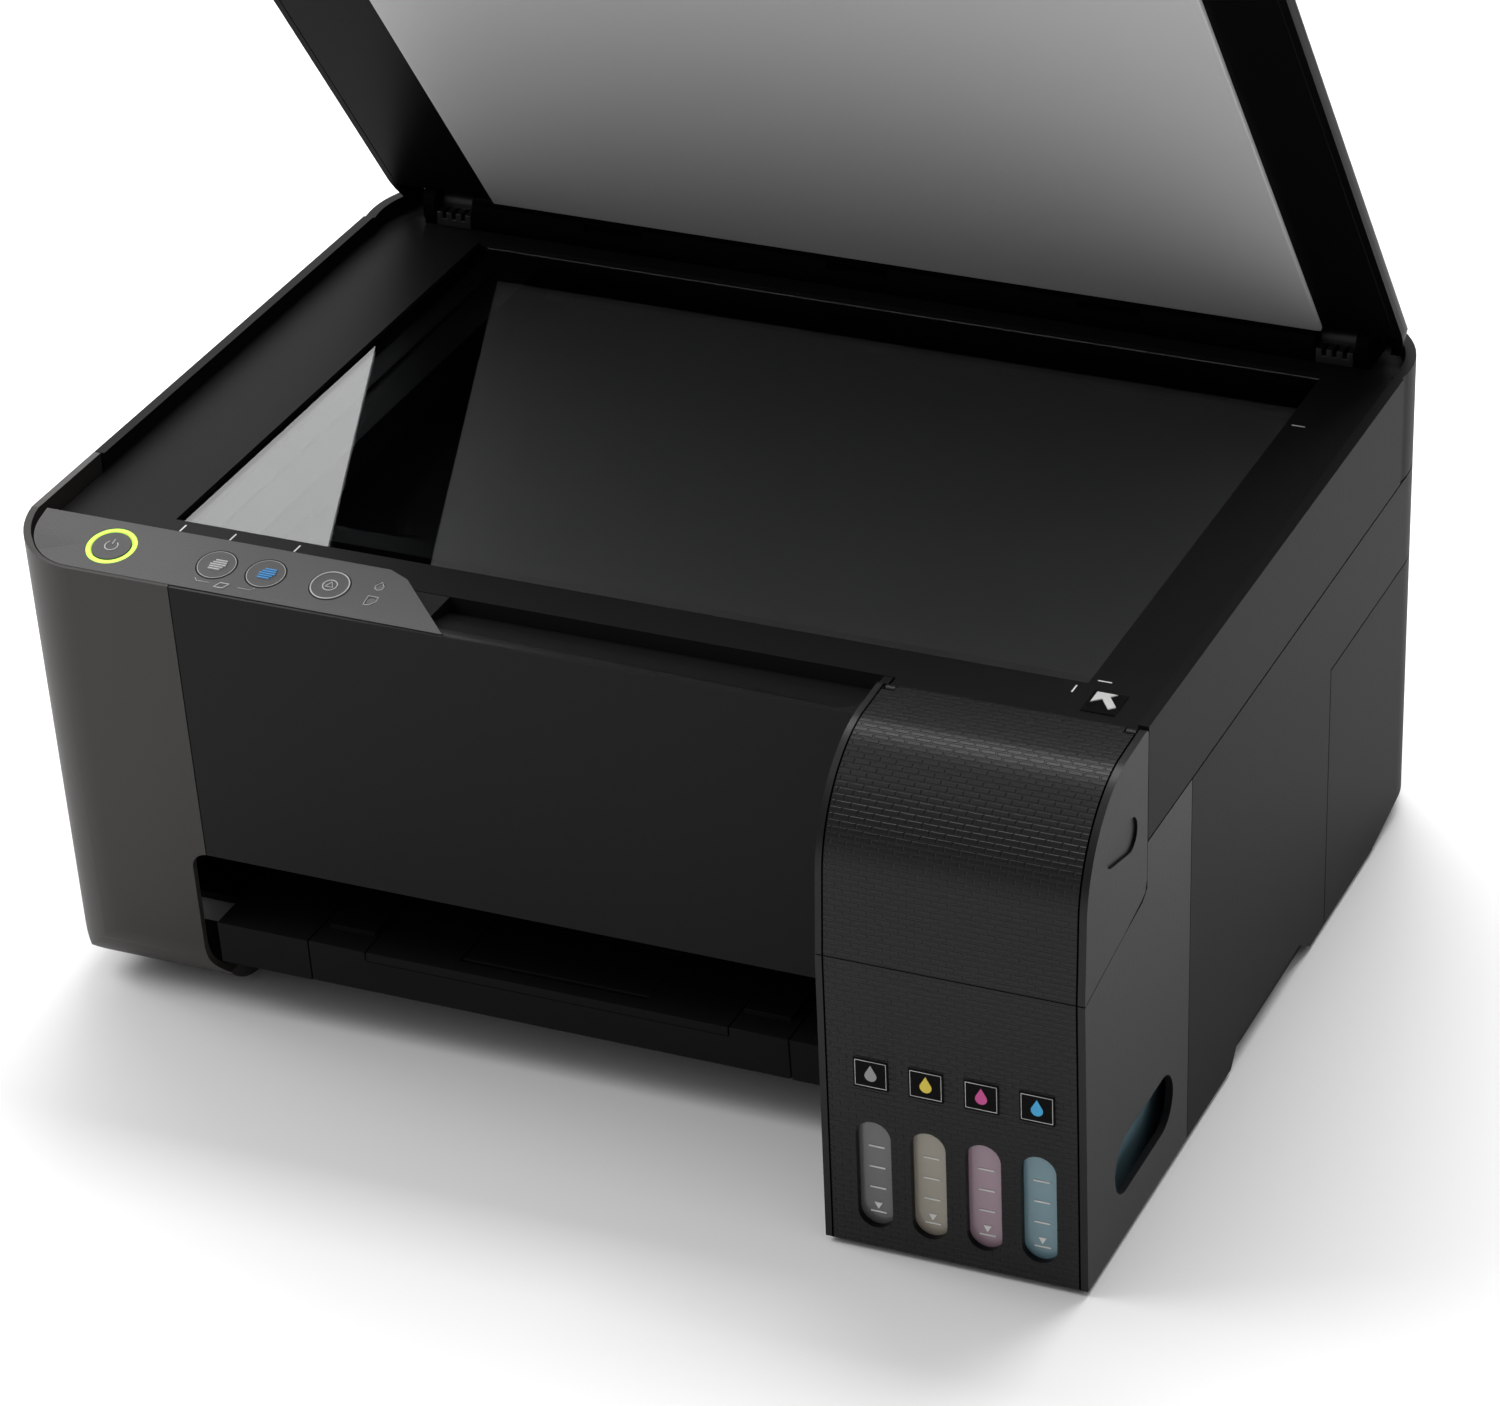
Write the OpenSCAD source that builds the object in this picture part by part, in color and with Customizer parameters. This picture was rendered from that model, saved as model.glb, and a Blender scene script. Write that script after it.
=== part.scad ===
// Home all-in-one inkjet printer with refillable ink tanks, shown with its document lid open.
// X runs to the viewer's right, Y to the back and Z up. The origin is the middle of the footprint.

/* [Overall] */
// Width over the side covers
body_w = 375; // [372:1:450]
// Depth from the tank tower to the rear feeder
body_d = 347; // [344:1:420]
// Height of the deck that surrounds the scanner glass
deck_z = 162.5; // [160:0.5:200]
// Wall thickness of the moulded covers
wall = 2.4; // [1.6:0.1:3]
// Gap at the seams between covers
seam = 0.4; // [0.3:0.05:0.6]
// Height of the rubber feet below the housing
foot_h = 2; // [1.5:0.5:4]

/* [Front] */
// Distance from the front of the tank tower back to the front cover's upper edge
tower_out = 40.5; // [34:0.5:44]
// Lean of the front cover from the vertical, in degrees
front_lean = 6.1; // [0:0.1:8]
// Lower edge of the front cover
front_bottom_z = 61; // [58:0.5:66]
// Plan radius of the front left corner
front_r = 24; // [18:1:30]
// Plan radius of the rear corners
rear_r = 40; // [24:1:44]
// Radius of the lower edges of the front left pillar
foot_r = 28; // [12:0.5:30]
// Width of the front left pillar
pillar_w = 59.9; // [56:0.1:70]
// Depth of the control panel, front to back
panel_d = 24.5; // [22:0.5:26]
// Length of the control panel along its rear edge
panel_l = 125; // [120:1:132]
// Forward tilt of the control panel, in degrees
panel_tilt = 14; // [10:0.5:15]

/* [Ink tanks] */
// Width of the tank tower
tower_w = 84.2; // [82:0.1:90]
// Height of the seam under the tank cover
tower_seam_z = 103.7; // [98:0.5:108]
// Centre distance of the ink tanks
tank_pitch = 17.47; // [17:0.01:18]
// Width of each ink tank
tank_w = 15.6; // [13:0.1:16]
// Width of each ink window
window_w = 11.2; // [8:0.1:12]
// Height of each ink window
window_h = 38.4; // [24:0.2:42]

/* [Scanner] */
// Lower edge of the scanner unit
scanner_z = 130.5; // [128:0.5:134]
// Height of the rim above the deck
rim_h = 6; // [4:0.5:8]
// Length of the glass opening
glass_l = 304.7; // [290:0.1:310]
// Width of the glass opening
glass_w = 223.1; // [200:0.1:226]
// Thickness of the glass
glass_t = 2.8; // [2:0.1:4]
// Angle at which the lid stands open, in degrees
lid_open = 52; // [0:1:80]
// Thickness of the closed lid above the deck
lid_t = 16.5; // [14.5:0.5:16.5]
// Radius of the lid's upper edges
lid_edge_r = 13; // [6:0.5:13]
// Radius of the lid's rounded heel around its hinge
heel_r = 10.4; // [9:0.1:10.4]

/* [Paper path] */
// Width of the sliding output tray
tray_w = 165.4; // [140:0.2:180]
// Height of the tray's front face
tray_face_h = 15.4; // [12:0.2:16]
// Height of the tray's front upper edge
tray_top_z = 34.6; // [33:0.2:40]
// Radius of the feed roller
feed_r = 6; // [4:0.5:7]
// Height of the platen's ribs
platen_z = 76; // [74:0.5:80]
// Width of the paper support
support_w = 214; // [200:1:220]

/* [Buttons] */
// Radius of a button
button_r = 6.4; // [4:0.1:7]
// Clearance round a button
button_gap = 0.3; // [0.2:0.05:0.5]

/* [Hidden] */

$fn = 64;
eps = 0.01;
hx = body_w / 2;
hy = body_d / 2;

// Main shell
rear_y = hy;
base_top = scanner_z - 0.6;
rim_top = deck_z + rim_h;
deck_t = 1.6;
front_y = tower_out - hy;
floor_z = foot_h + wall;

// Front openings
slot_x0 = -hx + pillar_w - 5.4;
tray_x0 = slot_x0 + 6;
tower_x0 = hx - tower_w;
panel_t = 2.7;
panel_back_y = front_y + 1.5;
panel_rear_y = front_y + panel_d;
panel_z = rim_top - (panel_rear_y - panel_back_y) * tan(panel_tilt);
panel_len = (panel_rear_y - panel_back_y) / cos(panel_tilt);
scanner_front_y = panel_rear_y + 0.4;

// Tank tower
tower_rear_y = -hy + 92.7;
cover_rear_y = -hy + 52.8;
cover_rear_z = 112.6;
tower_lean = 4.2;
nose_r = 2;
cover_axis_y = cover_rear_y - nose_r;
cover_axis_z = rim_top - 0.3 - nose_r;
tank_x0 = tower_x0 + 16.6;
tank_top = 88;
filler_z = 92;
filler_y = -hy + 31;
cap_axis_y = filler_y + 17;
cap_axis_z = filler_z + 8.5;

// Scanner
scan_w0 = hx;
tower_front_y = cover_rear_y + 0.5;
glass_x0 = -hx + 41;
glass_y0 = panel_rear_y + 17.2;
glass_z = deck_z - deck_t;
lid_axis_y = rear_y - 24;
lid_axis_z = deck_z + 6;
trough_gap = 0.5;
hinge_x = 159.6;
hinge_half = 6.5;
rim_w = 3.5;
lid_x0 = -hx + rim_w + 1;
lid_x1 = hx - rim_w - 1;
heel_x = hx - rear_r + 23.5;
lid_front_y = scanner_front_y + 0.8;
lid_z0 = deck_z + 2.2;
pad_z0 = deck_z + 0.2;
hinge_y = rear_y - 3.3;
hinge_z = scanner_z + 2.7;
bracket_x = 125;
pan_x0 = glass_x0 - 4;
pan_x1 = glass_x0 + glass_l + 4;
pan_y0 = glass_y0 - 8;
pan_y1 = glass_y0 + glass_w + 20;

// Paper path
print_y = 0;
feed_y = print_y + 34;
feed_z = platen_z - 7.4;
eject_y = print_y - 42;
slot_mid = (tray_x0 + tower_x0) / 2;
rail_y = print_y + 54;
shaft_r = 4;
carriage_y = print_y - 4;
carriage_w = 64;
carriage_x = hx - 50;
belt_y = rail_y - 8;
belt_z = 104;
pulley_r = 5.1;
pulley_x0 = -hx + 26;
pulley_x1 = hx - 18;
pinion_n = 12;
gear_n = 36;
tooth_m = 0.9;
gear_x = slot_x0 - 9;
run_fit = 0.06;
panel_buttons = [-hx + 33.7, -hx + 70.5, -hx + 87.5, -hx + 109.5];
button_y = 12.1;

module box(lo, hi) {
    translate(lo) cube(hi - lo);
}

module rod(x0, x1, y, z, r) {
    translate([x0, y, z]) rotate([0, 90, 0]) cylinder(h = x1 - x0, r = r);
}

module upright(x, y, z0, z1, r) {
    translate([x, y, z0]) cylinder(h = z1 - z0, r = r);
}

// An outline in Y and Z, pulled out along X
module side_plate(x0, x1, points) {
    translate([x0, 0, 0]) rotate([90, 0, 90]) linear_extrude(x1 - x0) polygon(points);
}

function arc(cy, cz, r, a0, a1, n) =
    [for (i = [0:n]) [cy + r * cos(a0 + (a1 - a0) * i / n), cz + r * sin(a0 + (a1 - a0) * i / n)]];

module lean() {
    translate([0, front_y, panel_z]) rotate([front_lean, 0, 0]) translate([0, -front_y, -panel_z]) children();
}

// Y of the leaning front face at height z, measured behind the skin by depth
function front_at(z, depth = 0) = front_y + (panel_z - z) * tan(front_lean) + depth;

// Y of the tank tower's front face at height z
function tower_at(z, depth = 0) = -hy + tower_lean * (tower_seam_z - z) / tower_seam_z + depth;

module stadium(w, h) {
    square([w, h - w], center = true);
    for (s = [-1, 1]) translate([0, s * (h - w) / 2]) circle(d = w);
}

module gear_outline(n, m) {
    pitch = 360 / n;
    root_r = m * (n / 2 - 1.25);
    tip_r = m * (n / 2 + 0.9);
    polygon([for (i = [0:n - 1], k = [[-0.24, root_r], [-0.1, tip_r], [0.1, tip_r], [0.24, root_r]])
        k[1] * [cos((i + k[0]) * pitch), sin((i + k[0]) * pitch)]]);
}

// ---------- Lower body ----------

module rear_half(x_side, inset) {
    mirror([x_side < 0 ? 1 : 0, 0, 0]) {
        translate([hx - rear_r, -hy]) square([rear_r - inset, hy + rear_y - rear_r]);
        translate([0, -hy]) square([hx - rear_r, hy + rear_y - inset]);
        translate([hx - rear_r, rear_y - rear_r]) circle(r = rear_r - inset);
    }
}

screw_places = [[-120, -40], [-120, 60], [80, -40], [80, 60]];

module lower_housing() color([0.05, 0.05, 0.055]) {
    floor_y0 = -hy + 88.5;
    shelf_z = tray_top_z - tray_face_h - 2.6;
    inner = wall + seam;
    difference() {
        union() {
            box([-hx + inner, floor_y0, foot_h], [hx - inner, rear_y - rear_r, floor_z]);
            box([-hx + rear_r, floor_y0, foot_h], [hx - rear_r, rear_y - wall - seam, floor_z]);
            box([tray_x0, floor_y0, foot_h], [tower_x0 - seam, floor_y0 + wall, shelf_z + 2]);
        }
        box([tower_x0 - seam - eps, floor_y0 - 1, 0], [hx, tower_rear_y + seam, floor_z + 1]);
        box([-hx, floor_y0 - 1, 0], [slot_x0 + 8, front_y + 74, floor_z + 1]);
        for (p = screw_places) {
            upright(p[0], p[1], 0, floor_z + 1, 1.5);
            upright(p[0], p[1], 0, foot_h + 1.3, 2.2);
        }
    }
    // Fixed front aprons at both sides of the sliding tray
    for (x = [[tray_x0, slot_mid - tray_w / 2 - seam], [slot_mid + tray_w / 2 + seam, tower_x0 - seam]])
        apron(x[0], x[1]);
    // Shelf under the tray, carried back to the floor
    box([tray_x0, front_at(shelf_z) + 12, shelf_z], [tower_x0 - seam, floor_y0 + wall, shelf_z + 2]);
}

module apron(x0, x1) {
    z1 = tray_top_z;
    z0 = z1 - tray_face_h;
    y1 = front_at(z1);
    side_plate(x0, x1, [[y1, z1], [front_at(z0), z0], [front_at(z0) + 3, z0 - 1.2], [front_at(z0) + 13, z0 - 1.6],
        [front_at(z0) + 13, z0 + 0.6], [front_at(z0) + 3.6, z0 + 1], [y1 + wall, z1 - wall], [y1 + 94, z1 - wall], [y1 + 94, z1]]);
    side_plate(x0, x0 + 2, [[y1 + 60, z1 - 1], [y1 + 60, z0 - 1.6], [y1 + 66, z0 - 1.6], [y1 + 66, z1 - 1]]);
    side_plate(x0, x0 + 2, [[y1 + 20, z1 - 1], [y1 + 20, z0 - 1.6], [y1 + 26, z0 - 1.6], [y1 + 26, z1 - 1]]);
}

module pillar_plan(inset) {
    x0 = -hx + inset;
    x1 = -hx + pillar_w - inset;
    y0 = front_y + inset;
    r = front_r - inset;
    translate([x0, y0 + r]) square([x1 - x0, 90]);
    translate([x0 + r, y0]) square([x1 - x0 - r, r + 1]);
    translate([x0 + r, y0 + r]) circle(r = r);
}

module pillar(inset) {
    lean() translate([0, 0, -20]) linear_extrude(rim_top + 30) pillar_plan(inset);
}

// Outlines with a rounded lower left edge and a rounded lower front edge
module pillar_sides(y1, inset) {
    z = foot_h + foot_r;
    rotate([90, 0, 0]) translate([0, 0, -y1]) linear_extrude(y1 + hy)
        polygon(concat([[-hx + pillar_w, foot_h + inset], [-hx + pillar_w, rim_top], [-hx - 1, rim_top], [-hx - 1, z]],
            arc(-hx + foot_r - 0.05, z, foot_r - inset, 180, 270, 24)));
}

module pillar_front(y1, inset) {
    z = foot_h + foot_r;
    side_plate(-hx - 2, 0, concat([[y1, foot_h + inset], [y1, rim_top + 1], [-hy, rim_top + 1], [-hy, z]],
        arc(front_at(z) + foot_r - 0.05, z, foot_r - inset, 180, 270, 24)));
}

module left_cover() color([0.30, 0.29, 0.29]) {
    wing_y = front_y + 64.3;
    difference() {
        union() {
            intersection() {
                pillar(0);
                pillar_sides(wing_y, 0);
                pillar_front(wing_y, 0);
            }
            intersection() {
                translate([0, 0, foot_h]) linear_extrude(base_top - foot_h) rear_half(-1, 0);
                box([-hx, wing_y - 1, 0], [-hx + rear_r + 10, rear_y, base_top]);
            }
        }
        intersection() {
            pillar(wall);
            pillar_sides(wing_y + 1, wall);
            pillar_front(wing_y + 1, wall);
        }
        intersection() {
            translate([0, 0, -1]) linear_extrude(base_top + 5) rear_half(-1, wall);
            box([-hx, wing_y - 2, -1], [-hx + rear_r + 11, rear_y, base_top + 5]);
        }
        // Seat of the control panel
        translate([0, panel_back_y, panel_z]) rotate([panel_tilt, 0, 0]) translate([0, 0, -panel_t - 0.4])
            linear_extrude(40) control_outline(-seam);
        // Above the panel only the rim stays
        translate([0, panel_back_y, panel_z]) rotate([panel_tilt, 0, 0]) translate([-hx - 1, -20, 0.2])
            cube([100, panel_len + 20.5, 30]);
        // Room for the scanner unit behind the panel
        box([-hx + wall + 0.6, scanner_front_y - 0.4, scanner_z - 0.6], [hx, wing_y + 1, rim_top + 1]);
        // The inner wall ends at the chassis
        box([-hx + wall + 0.6, front_y + 50, foot_h + wall], [0, wing_y + 5, rim_top]);
        box([-hx + wall + 0.6, wing_y - 6, 0], [0, wing_y + 5, rim_top]);
        // Left end of the paper slot
        translate([slot_x0, 0, 11]) rotate([90, 0, 0]) translate([0, 0, -hy]) linear_extrude(body_d) slot_end();
    }
}

module slot_end() {
    h = front_bottom_z - 11;
    translate([8, 0]) square([80, h]);
    translate([0, 8]) square([9, h - 14]);
    translate([8, 8]) circle(r = 8);
    translate([6, h - 6]) circle(r = 6);
    translate([6, h - 7]) square([3, 7]);
}

module side_cover_solid(inset) {
    intersection() {
        translate([0, 0, foot_h - (inset > 0 ? 5 : 0)]) linear_extrude(base_top - foot_h + (inset > 0 ? 10 : 0))
            rear_half(1, inset);
        box([hx - rear_r - 10, tower_rear_y + seam, -5], [hx, rear_y, base_top + 10]);
    }
}

panel_y0 = 55.4;
panel_top_z = 97;

module right_cover() color([0.13, 0.13, 0.135]) {
    difference() {
        side_cover_solid(0);
        side_cover_solid(wall);
        box([0, panel_y0, 0], [hx + 1, hy, panel_top_z + seam]);
        // Hand arch along the lower edge
        side_plate(hx - 20, hx + 1, [[-38.3, 0], [-38.3, 2.2], [-32, 9.1], [29.4, 9.1], [41.3, 2.2], [41.3, 0]]);
    }
}

module right_rear_cover() color([0.12, 0.12, 0.125]) {
    difference() {
        side_cover_solid(0);
        side_cover_solid(wall);
        box([0, -hy, 0], [hx + 1, panel_y0 + seam, base_top]);
        box([0, -hy, panel_top_z], [hx + 1, hy, base_top + 1]);
        side_plate(hx - 60, hx + 1, [[108, 0], [108, 2.4], [135, 7], [hy, 7], [hy, 0]]);
    }
}

feeder_x = support_w / 2 + 6;
feeder_z0 = 38;
feeder_z1 = base_top - 8;
lane_d = 9;
support_y = hy - 2.4;
support_axis_y = hy - 2.2;
support_z = feeder_z0 + 4.4;

module rear_cover() color([0.06, 0.06, 0.065]) {
    x1 = hx - rear_r - 10 - seam;
    difference() {
        union() {
            box([-x1, rear_y - wall, foot_h], [x1, rear_y, base_top - 1.4]);
            box([-feeder_x, rear_y - wall - lane_d, feeder_z0], [feeder_x, rear_y, base_top - 1.4]);
        }
        // Lane for the support and the paper, open at the back
        box([-feeder_x + 3, rear_y - wall - lane_d + 2, feeder_z0 + 2], [feeder_x - 3, rear_y + 1, feeder_z1]);
        rod(-feeder_x + 1, feeder_x - 1, support_axis_y, support_z, 1.2);
        // Way through to the pickup roller
        box([-feeder_x + 8, rear_y - wall - lane_d - 1, feeder_z0 + 26], [feeder_x - 8, rear_y - 4, feeder_z0 + 62]);
        // Power inlet and data port
        box([-x1 + 2, rear_y - wall - 1, 12], [-x1 + 27, rear_y + 1, 32]);
        box([x1 - 27, rear_y - wall - 1, 12], [x1 - 13, rear_y + 1, 21]);
        // Cooling slots
        for (i = [0:7]) box([-40 + i * 10, rear_y - wall - 1, 10], [-36 + i * 10, rear_y + 1, 32]);
        for (s = [-1, 1]) box([s * bracket_x - 5.2, rear_y - wall - 1, base_top - 12],
            [s * bracket_x + 5.2, rear_y + 1, base_top]);
    }
}

scoop_tilt = 13;
scoop_x0 = -43;

module front_cover() color([0.10, 0.10, 0.105]) {
    x0 = -hx + pillar_w + seam;
    x1 = tower_x0 - seam;
    top_x0 = -hx + panel_l + 2.5;
    y1 = scanner_front_y - 0.4;
    top_z = panel_z - 0.2;
    low = 8;
    difference() {
        union() {
            side_plate(x0, x1, [[front_at(top_z), top_z], [front_at(front_bottom_z), front_bottom_z],
                [front_at(front_bottom_z, wall), front_bottom_z], [front_at(top_z, wall), top_z]]);
            side_plate(top_x0, x1, [[front_at(top_z), top_z], [front_at(top_z - 4), top_z - 4], [front_at(top_z - 4, wall), top_z - 4],
                [y1, top_z - low - 1], [y1, deck_z], [panel_back_y + 3, deck_z]]);
        }
        panel_place() translate([0, 0, -panel_t - 0.4]) linear_extrude(40) control_outline(-seam);
        // Finger recess, deepest at the back
        translate([0, front_y + 1.5, top_z]) rotate([-scoop_tilt, 0, 0]) linear_extrude(20) scoop_outline();
    }
}

module scoop_outline() {
    r = 8;
    x1 = tower_x0 - 3.3;
    translate([scoop_x0 + r, 0]) square([x1 - scoop_x0 - 2 * r, 60]);
    translate([scoop_x0, r]) square([x1 - scoop_x0, 60]);
    for (x = [scoop_x0 + r, x1 - r]) translate([x, r]) circle(r = r);
}

module panel_place() {
    translate([0, panel_back_y, panel_z]) rotate([panel_tilt, 0, 0]) children();
}

// Outline of the control panel in its own plane, with a slanting right end
module control_outline(inset) {
    x0 = -hx + 5 + inset;
    r = front_r - 5 - inset;
    y1 = panel_len - inset;
    xe = -hx + panel_l;
    difference() {
        union() {
            translate([x0, inset + r]) square([60, y1 - inset - r]);
            translate([x0 + r, inset]) square([60, y1 - inset]);
            translate([x0 + r, inset + r]) circle(r = r);
            polygon([[x0 + 40, inset], [xe + 28 - inset * 2, inset], [xe + 11 - inset * 2, y1 - 7],
                [xe + 7 - inset, y1 - 3], [xe - inset, y1], [x0 + 40, y1]]);
        }
        translate([x0 - 50, y1]) square([400, 60]);
    }
}

module control_panel() color([0.42, 0.42, 0.42]) panel_place() {
    difference() {
        translate([0, 0, -panel_t]) linear_extrude(panel_t) control_outline(0);
        for (x = panel_buttons) upright(x, button_y, -9, 9, button_r + button_gap);
        difference() {
            upright(panel_buttons[0], button_y, -9, 9, button_r + 1.9);
            upright(panel_buttons[0], button_y, -10, 10, button_r + button_gap);
        }
        for (p = light_places) upright(p[0], p[1], -9, 9, 1.6);
    }
}

light_places = [[-hx + 125, 15.5], [-hx + 125.1, 8.6]];

module panel_lights() color([0.66, 0.85, 0.25]) panel_place() {
    difference() {
        union() {
            upright(panel_buttons[0], button_y, -panel_t - 1.6, -panel_t - 0.1, button_r + 3);
            upright(panel_buttons[0], button_y, -panel_t - 1.6, -0.1, button_r + 1.8);
        }
        upright(panel_buttons[0], button_y, -9, 9, button_r + button_gap);
    }
    for (p = light_places) upright(p[0], p[1], -panel_t - 1.6, -0.1, 1.5);
}

module button(i, tint) color(tint) panel_place() {
    upright(panel_buttons[i], button_y, -panel_t - 2, 0.05, button_r);
    upright(panel_buttons[i], button_y, -panel_t - 4, -panel_t - 1.9, 1.8);
}

module power_button() button(0, [0.4, 0.4, 0.4]);
module mono_copy_button() button(1, [0.4, 0.4, 0.4]);
module colour_copy_button() button(2, [0.2, 0.45, 0.7]);
module stop_button() button(3, [0.4, 0.4, 0.4]);

// ---------- Ink tanks ----------

function tower_profile(inset) = let (z0 = inset > 0 ? foot_h - 5 : foot_h, s = tower_seam_z - seam / 2)
    [[tower_rear_y - inset, z0], [tower_at(z0, inset), z0], [tower_at(s + inset * 2, inset), s + inset * 2],
    [-hy + 33.4, tower_seam_z + 5.6 + inset * 2], [cover_rear_y - 3.9, cover_rear_z - 1 + inset * 2],
    [cover_rear_y + 0.3 + inset, cover_rear_z + 1.6 + inset], [cover_rear_y + 0.3 + inset, base_top + inset * 2],
    [tower_rear_y - inset, base_top + inset * 2]];

function tank_x(i) = tank_x0 + i * tank_pitch;

module tank_housing() color([0.10, 0.10, 0.105]) {
    x0 = tower_x0;
    x1 = hx;
    difference() {
        union() {
            difference() {
                side_plate(x0, x1, tower_profile(0));
                side_plate(x0 + wall, x1 - wall, tower_profile(wall));
                // Ink windows
                for (i = [0:3]) translate([tank_x(i), -hy - 1, 28.2]) rotate([-90, 0, 0])
                    linear_extrude(12) stadium(window_w, window_h);
                // Window in the side
                translate([x1 - 6, -hy + 53, 28]) rotate([0, 90, 0]) linear_extrude(10) stadium(20, 52);
            }
            // Deck with the filler holes
            box([x0 + wall - eps, tower_at(filler_z, wall - eps), filler_z - 2], [x1 - wall + eps, tower_rear_y - wall + eps, filler_z]);
            // Floor of the tower
            box([x0 + wall - eps, tower_at(3, wall - eps), foot_h], [x1 - wall + eps, tower_rear_y - wall + eps, floor_z]);
            // Ears that carry the tank cover's hinge pin
            for (x = ear_places) side_plate(x, x + ear_w, concat([[cover_axis_y + 1.9, filler_z - 1]],
                arc(cover_axis_y, cover_axis_z, 1.9, 0, 180, 12), [[cover_axis_y - 14, filler_z - 1]]));
            // Posts for the cap hinges
            for (i = [0:3], s = [-1, 1]) translate([tank_x(i) + s * 5.9 - 1, 0, 0])
                box([0, cap_axis_y - 2, filler_z - eps], [2, cap_axis_y + 2, cap_axis_z + 2]);
        }
        for (i = [0:3]) upright(tank_x(i), filler_y, filler_z - 3, filler_z + 1, 5.4);
        rod(x0 + wall, x1 - wall, cover_axis_y, cover_axis_z, 0.9 + run_fit);
        for (i = [0:3]) rod(tank_x(i) - 7, tank_x(i) + 7, cap_axis_y, cap_axis_z, 1);
    }
}

ear_w = 3;
ear_places = [tower_x0 + 3.2, hx - 3 - ear_w];

module colour_tags() color([0.08, 0.08, 0.08]) {
    for (i = [0:3]) intersection() {
        box([tank_x(i) - 5.5, -hy - 3, 59.7], [tank_x(i) + 5.5, -hy + 8, 70]);
        side_plate(tower_x0, hx, [[tower_at(80, -0.4), 80], [tower_at(50, -0.4), 50], [tower_at(50, -eps), 50], [tower_at(80, -eps), 80]]);
    }
}

module ink_tank(i, tint) color(tint) {
    x = tank_x(i);
    gap = wall + 0.35;
    difference() {
        union() {
            side_plate(x - tank_w / 2, x + tank_w / 2, [[tower_rear_y - wall - 1, floor_z + 0.2],
                [tower_at(floor_z, gap), floor_z + 0.2], [tower_at(70, gap), 70], [tower_at(70, gap) + 6, tank_top],
                [tower_rear_y - wall - 1, tank_top]]);
            upright(x, filler_y, tank_top - 1, filler_z + 5, 5);
        }
        upright(x, filler_y, filler_z - 6, filler_z + 6, 3.2);
    }
}

module ink_tank_black() ink_tank(0, [0.30, 0.30, 0.31]);
module ink_tank_yellow() ink_tank(1, [0.66, 0.62, 0.54]);
module ink_tank_magenta() ink_tank(2, [0.72, 0.56, 0.66]);
module ink_tank_cyan() ink_tank(3, [0.45, 0.60, 0.68]);

module tank_cap(i) color([0.06, 0.06, 0.065]) {
    x = tank_x(i);
    difference() {
        union() {
            box([x - 4.5, cap_axis_y - 1, filler_z + 6.2], [x + 4.5, cap_axis_y + 1.6, cap_axis_z + 1.6]);
            upright(x, filler_y, filler_z + 5.3, filler_z + 8, 6.6);
            box([x - 4.5, filler_y, filler_z + 5.6], [x + 4.5, cap_axis_y, filler_z + 8]);
            box([x - 3.5, filler_y - 11, filler_z + 5.6], [x + 3.5, filler_y, filler_z + 8]);
            upright(x, filler_y, filler_z + 4.2, filler_z + 5.4, 2.6);
        }
        rod(x - 5, x + 5, cap_axis_y, cap_axis_z, 1 + run_fit);
    }
    // Hinge wire
    rod(x - 6.8, x + 6.8, cap_axis_y, cap_axis_z, 1 - run_fit);
}

module tank_cap_black() tank_cap(0);
module tank_cap_yellow() tank_cap(1);
module tank_cap_magenta() tank_cap(2);
module tank_cap_cyan() tank_cap(3);

bend_r = 37.8;
top_slope = 8;
face_slope = 2.1;

// The cover's top and front, one sweep from the hinge to the front seam
function cover_profile(inset) = let (s = tower_seam_z + seam / 2, low = inset > 0 ? -9 : 0,
        ty = cover_rear_y - nose_r, yc = -hy + face_slope * 0.5 + bend_r,
        zt = rim_top - 0.3 - (ty - yc) * tan(top_slope), zc = zt - bend_r * cos(top_slope) + bend_r * sin(top_slope) * tan(top_slope))
    concat([[ty + (inset > 0 ? 6 : 0), rim_top - 0.3 - inset]],
        arc(yc, zc, bend_r - inset, 90 + top_slope, 180 - face_slope, 20),
        [[-hy + inset, s + low]],
        inset > 0 ? [[ty + 6, s + low]] :
            [[-hy + 33.2, s + 5.6], [cover_rear_y - 4.6, cover_rear_z], [cover_rear_y - 1.3, cover_rear_z + 1.3],
            [cover_rear_y, cover_rear_z + 5], [cover_rear_y, cover_axis_z], [ty, cover_axis_z]]);

module tank_cover() color([0.12, 0.12, 0.125]) {
    x0 = tower_x0 + 0.1;
    x1 = hx;
    difference() {
        union() {
            difference() {
                side_plate(x0, x1, cover_profile(0));
                side_plate(x0 + wall, x1 - wall, cover_profile(wall));
                // Shallow finger dimple in the side
                translate([x1 - 0.8, -hy + 30.5, 142]) rotate([0, 90, 0]) rotate([0, 0, -13]) linear_extrude(4) stadium(11, 27);
            }
            // Rounded rear edge around the hinge line
            rod(x0, x1, cover_axis_y, cover_axis_z, nose_r);
        }
        for (x = ear_places) box([x - 0.4, cover_axis_y - 2.6, cover_axis_z - 12], [x + ear_w + 0.4, cover_axis_y + 6, rim_top + 1]);
    }
    for (x = ear_places) rod(x - 1.4, x + ear_w + 1.4, cover_axis_y, cover_axis_z, 0.9);
}

// ---------- Print engine ----------

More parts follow.
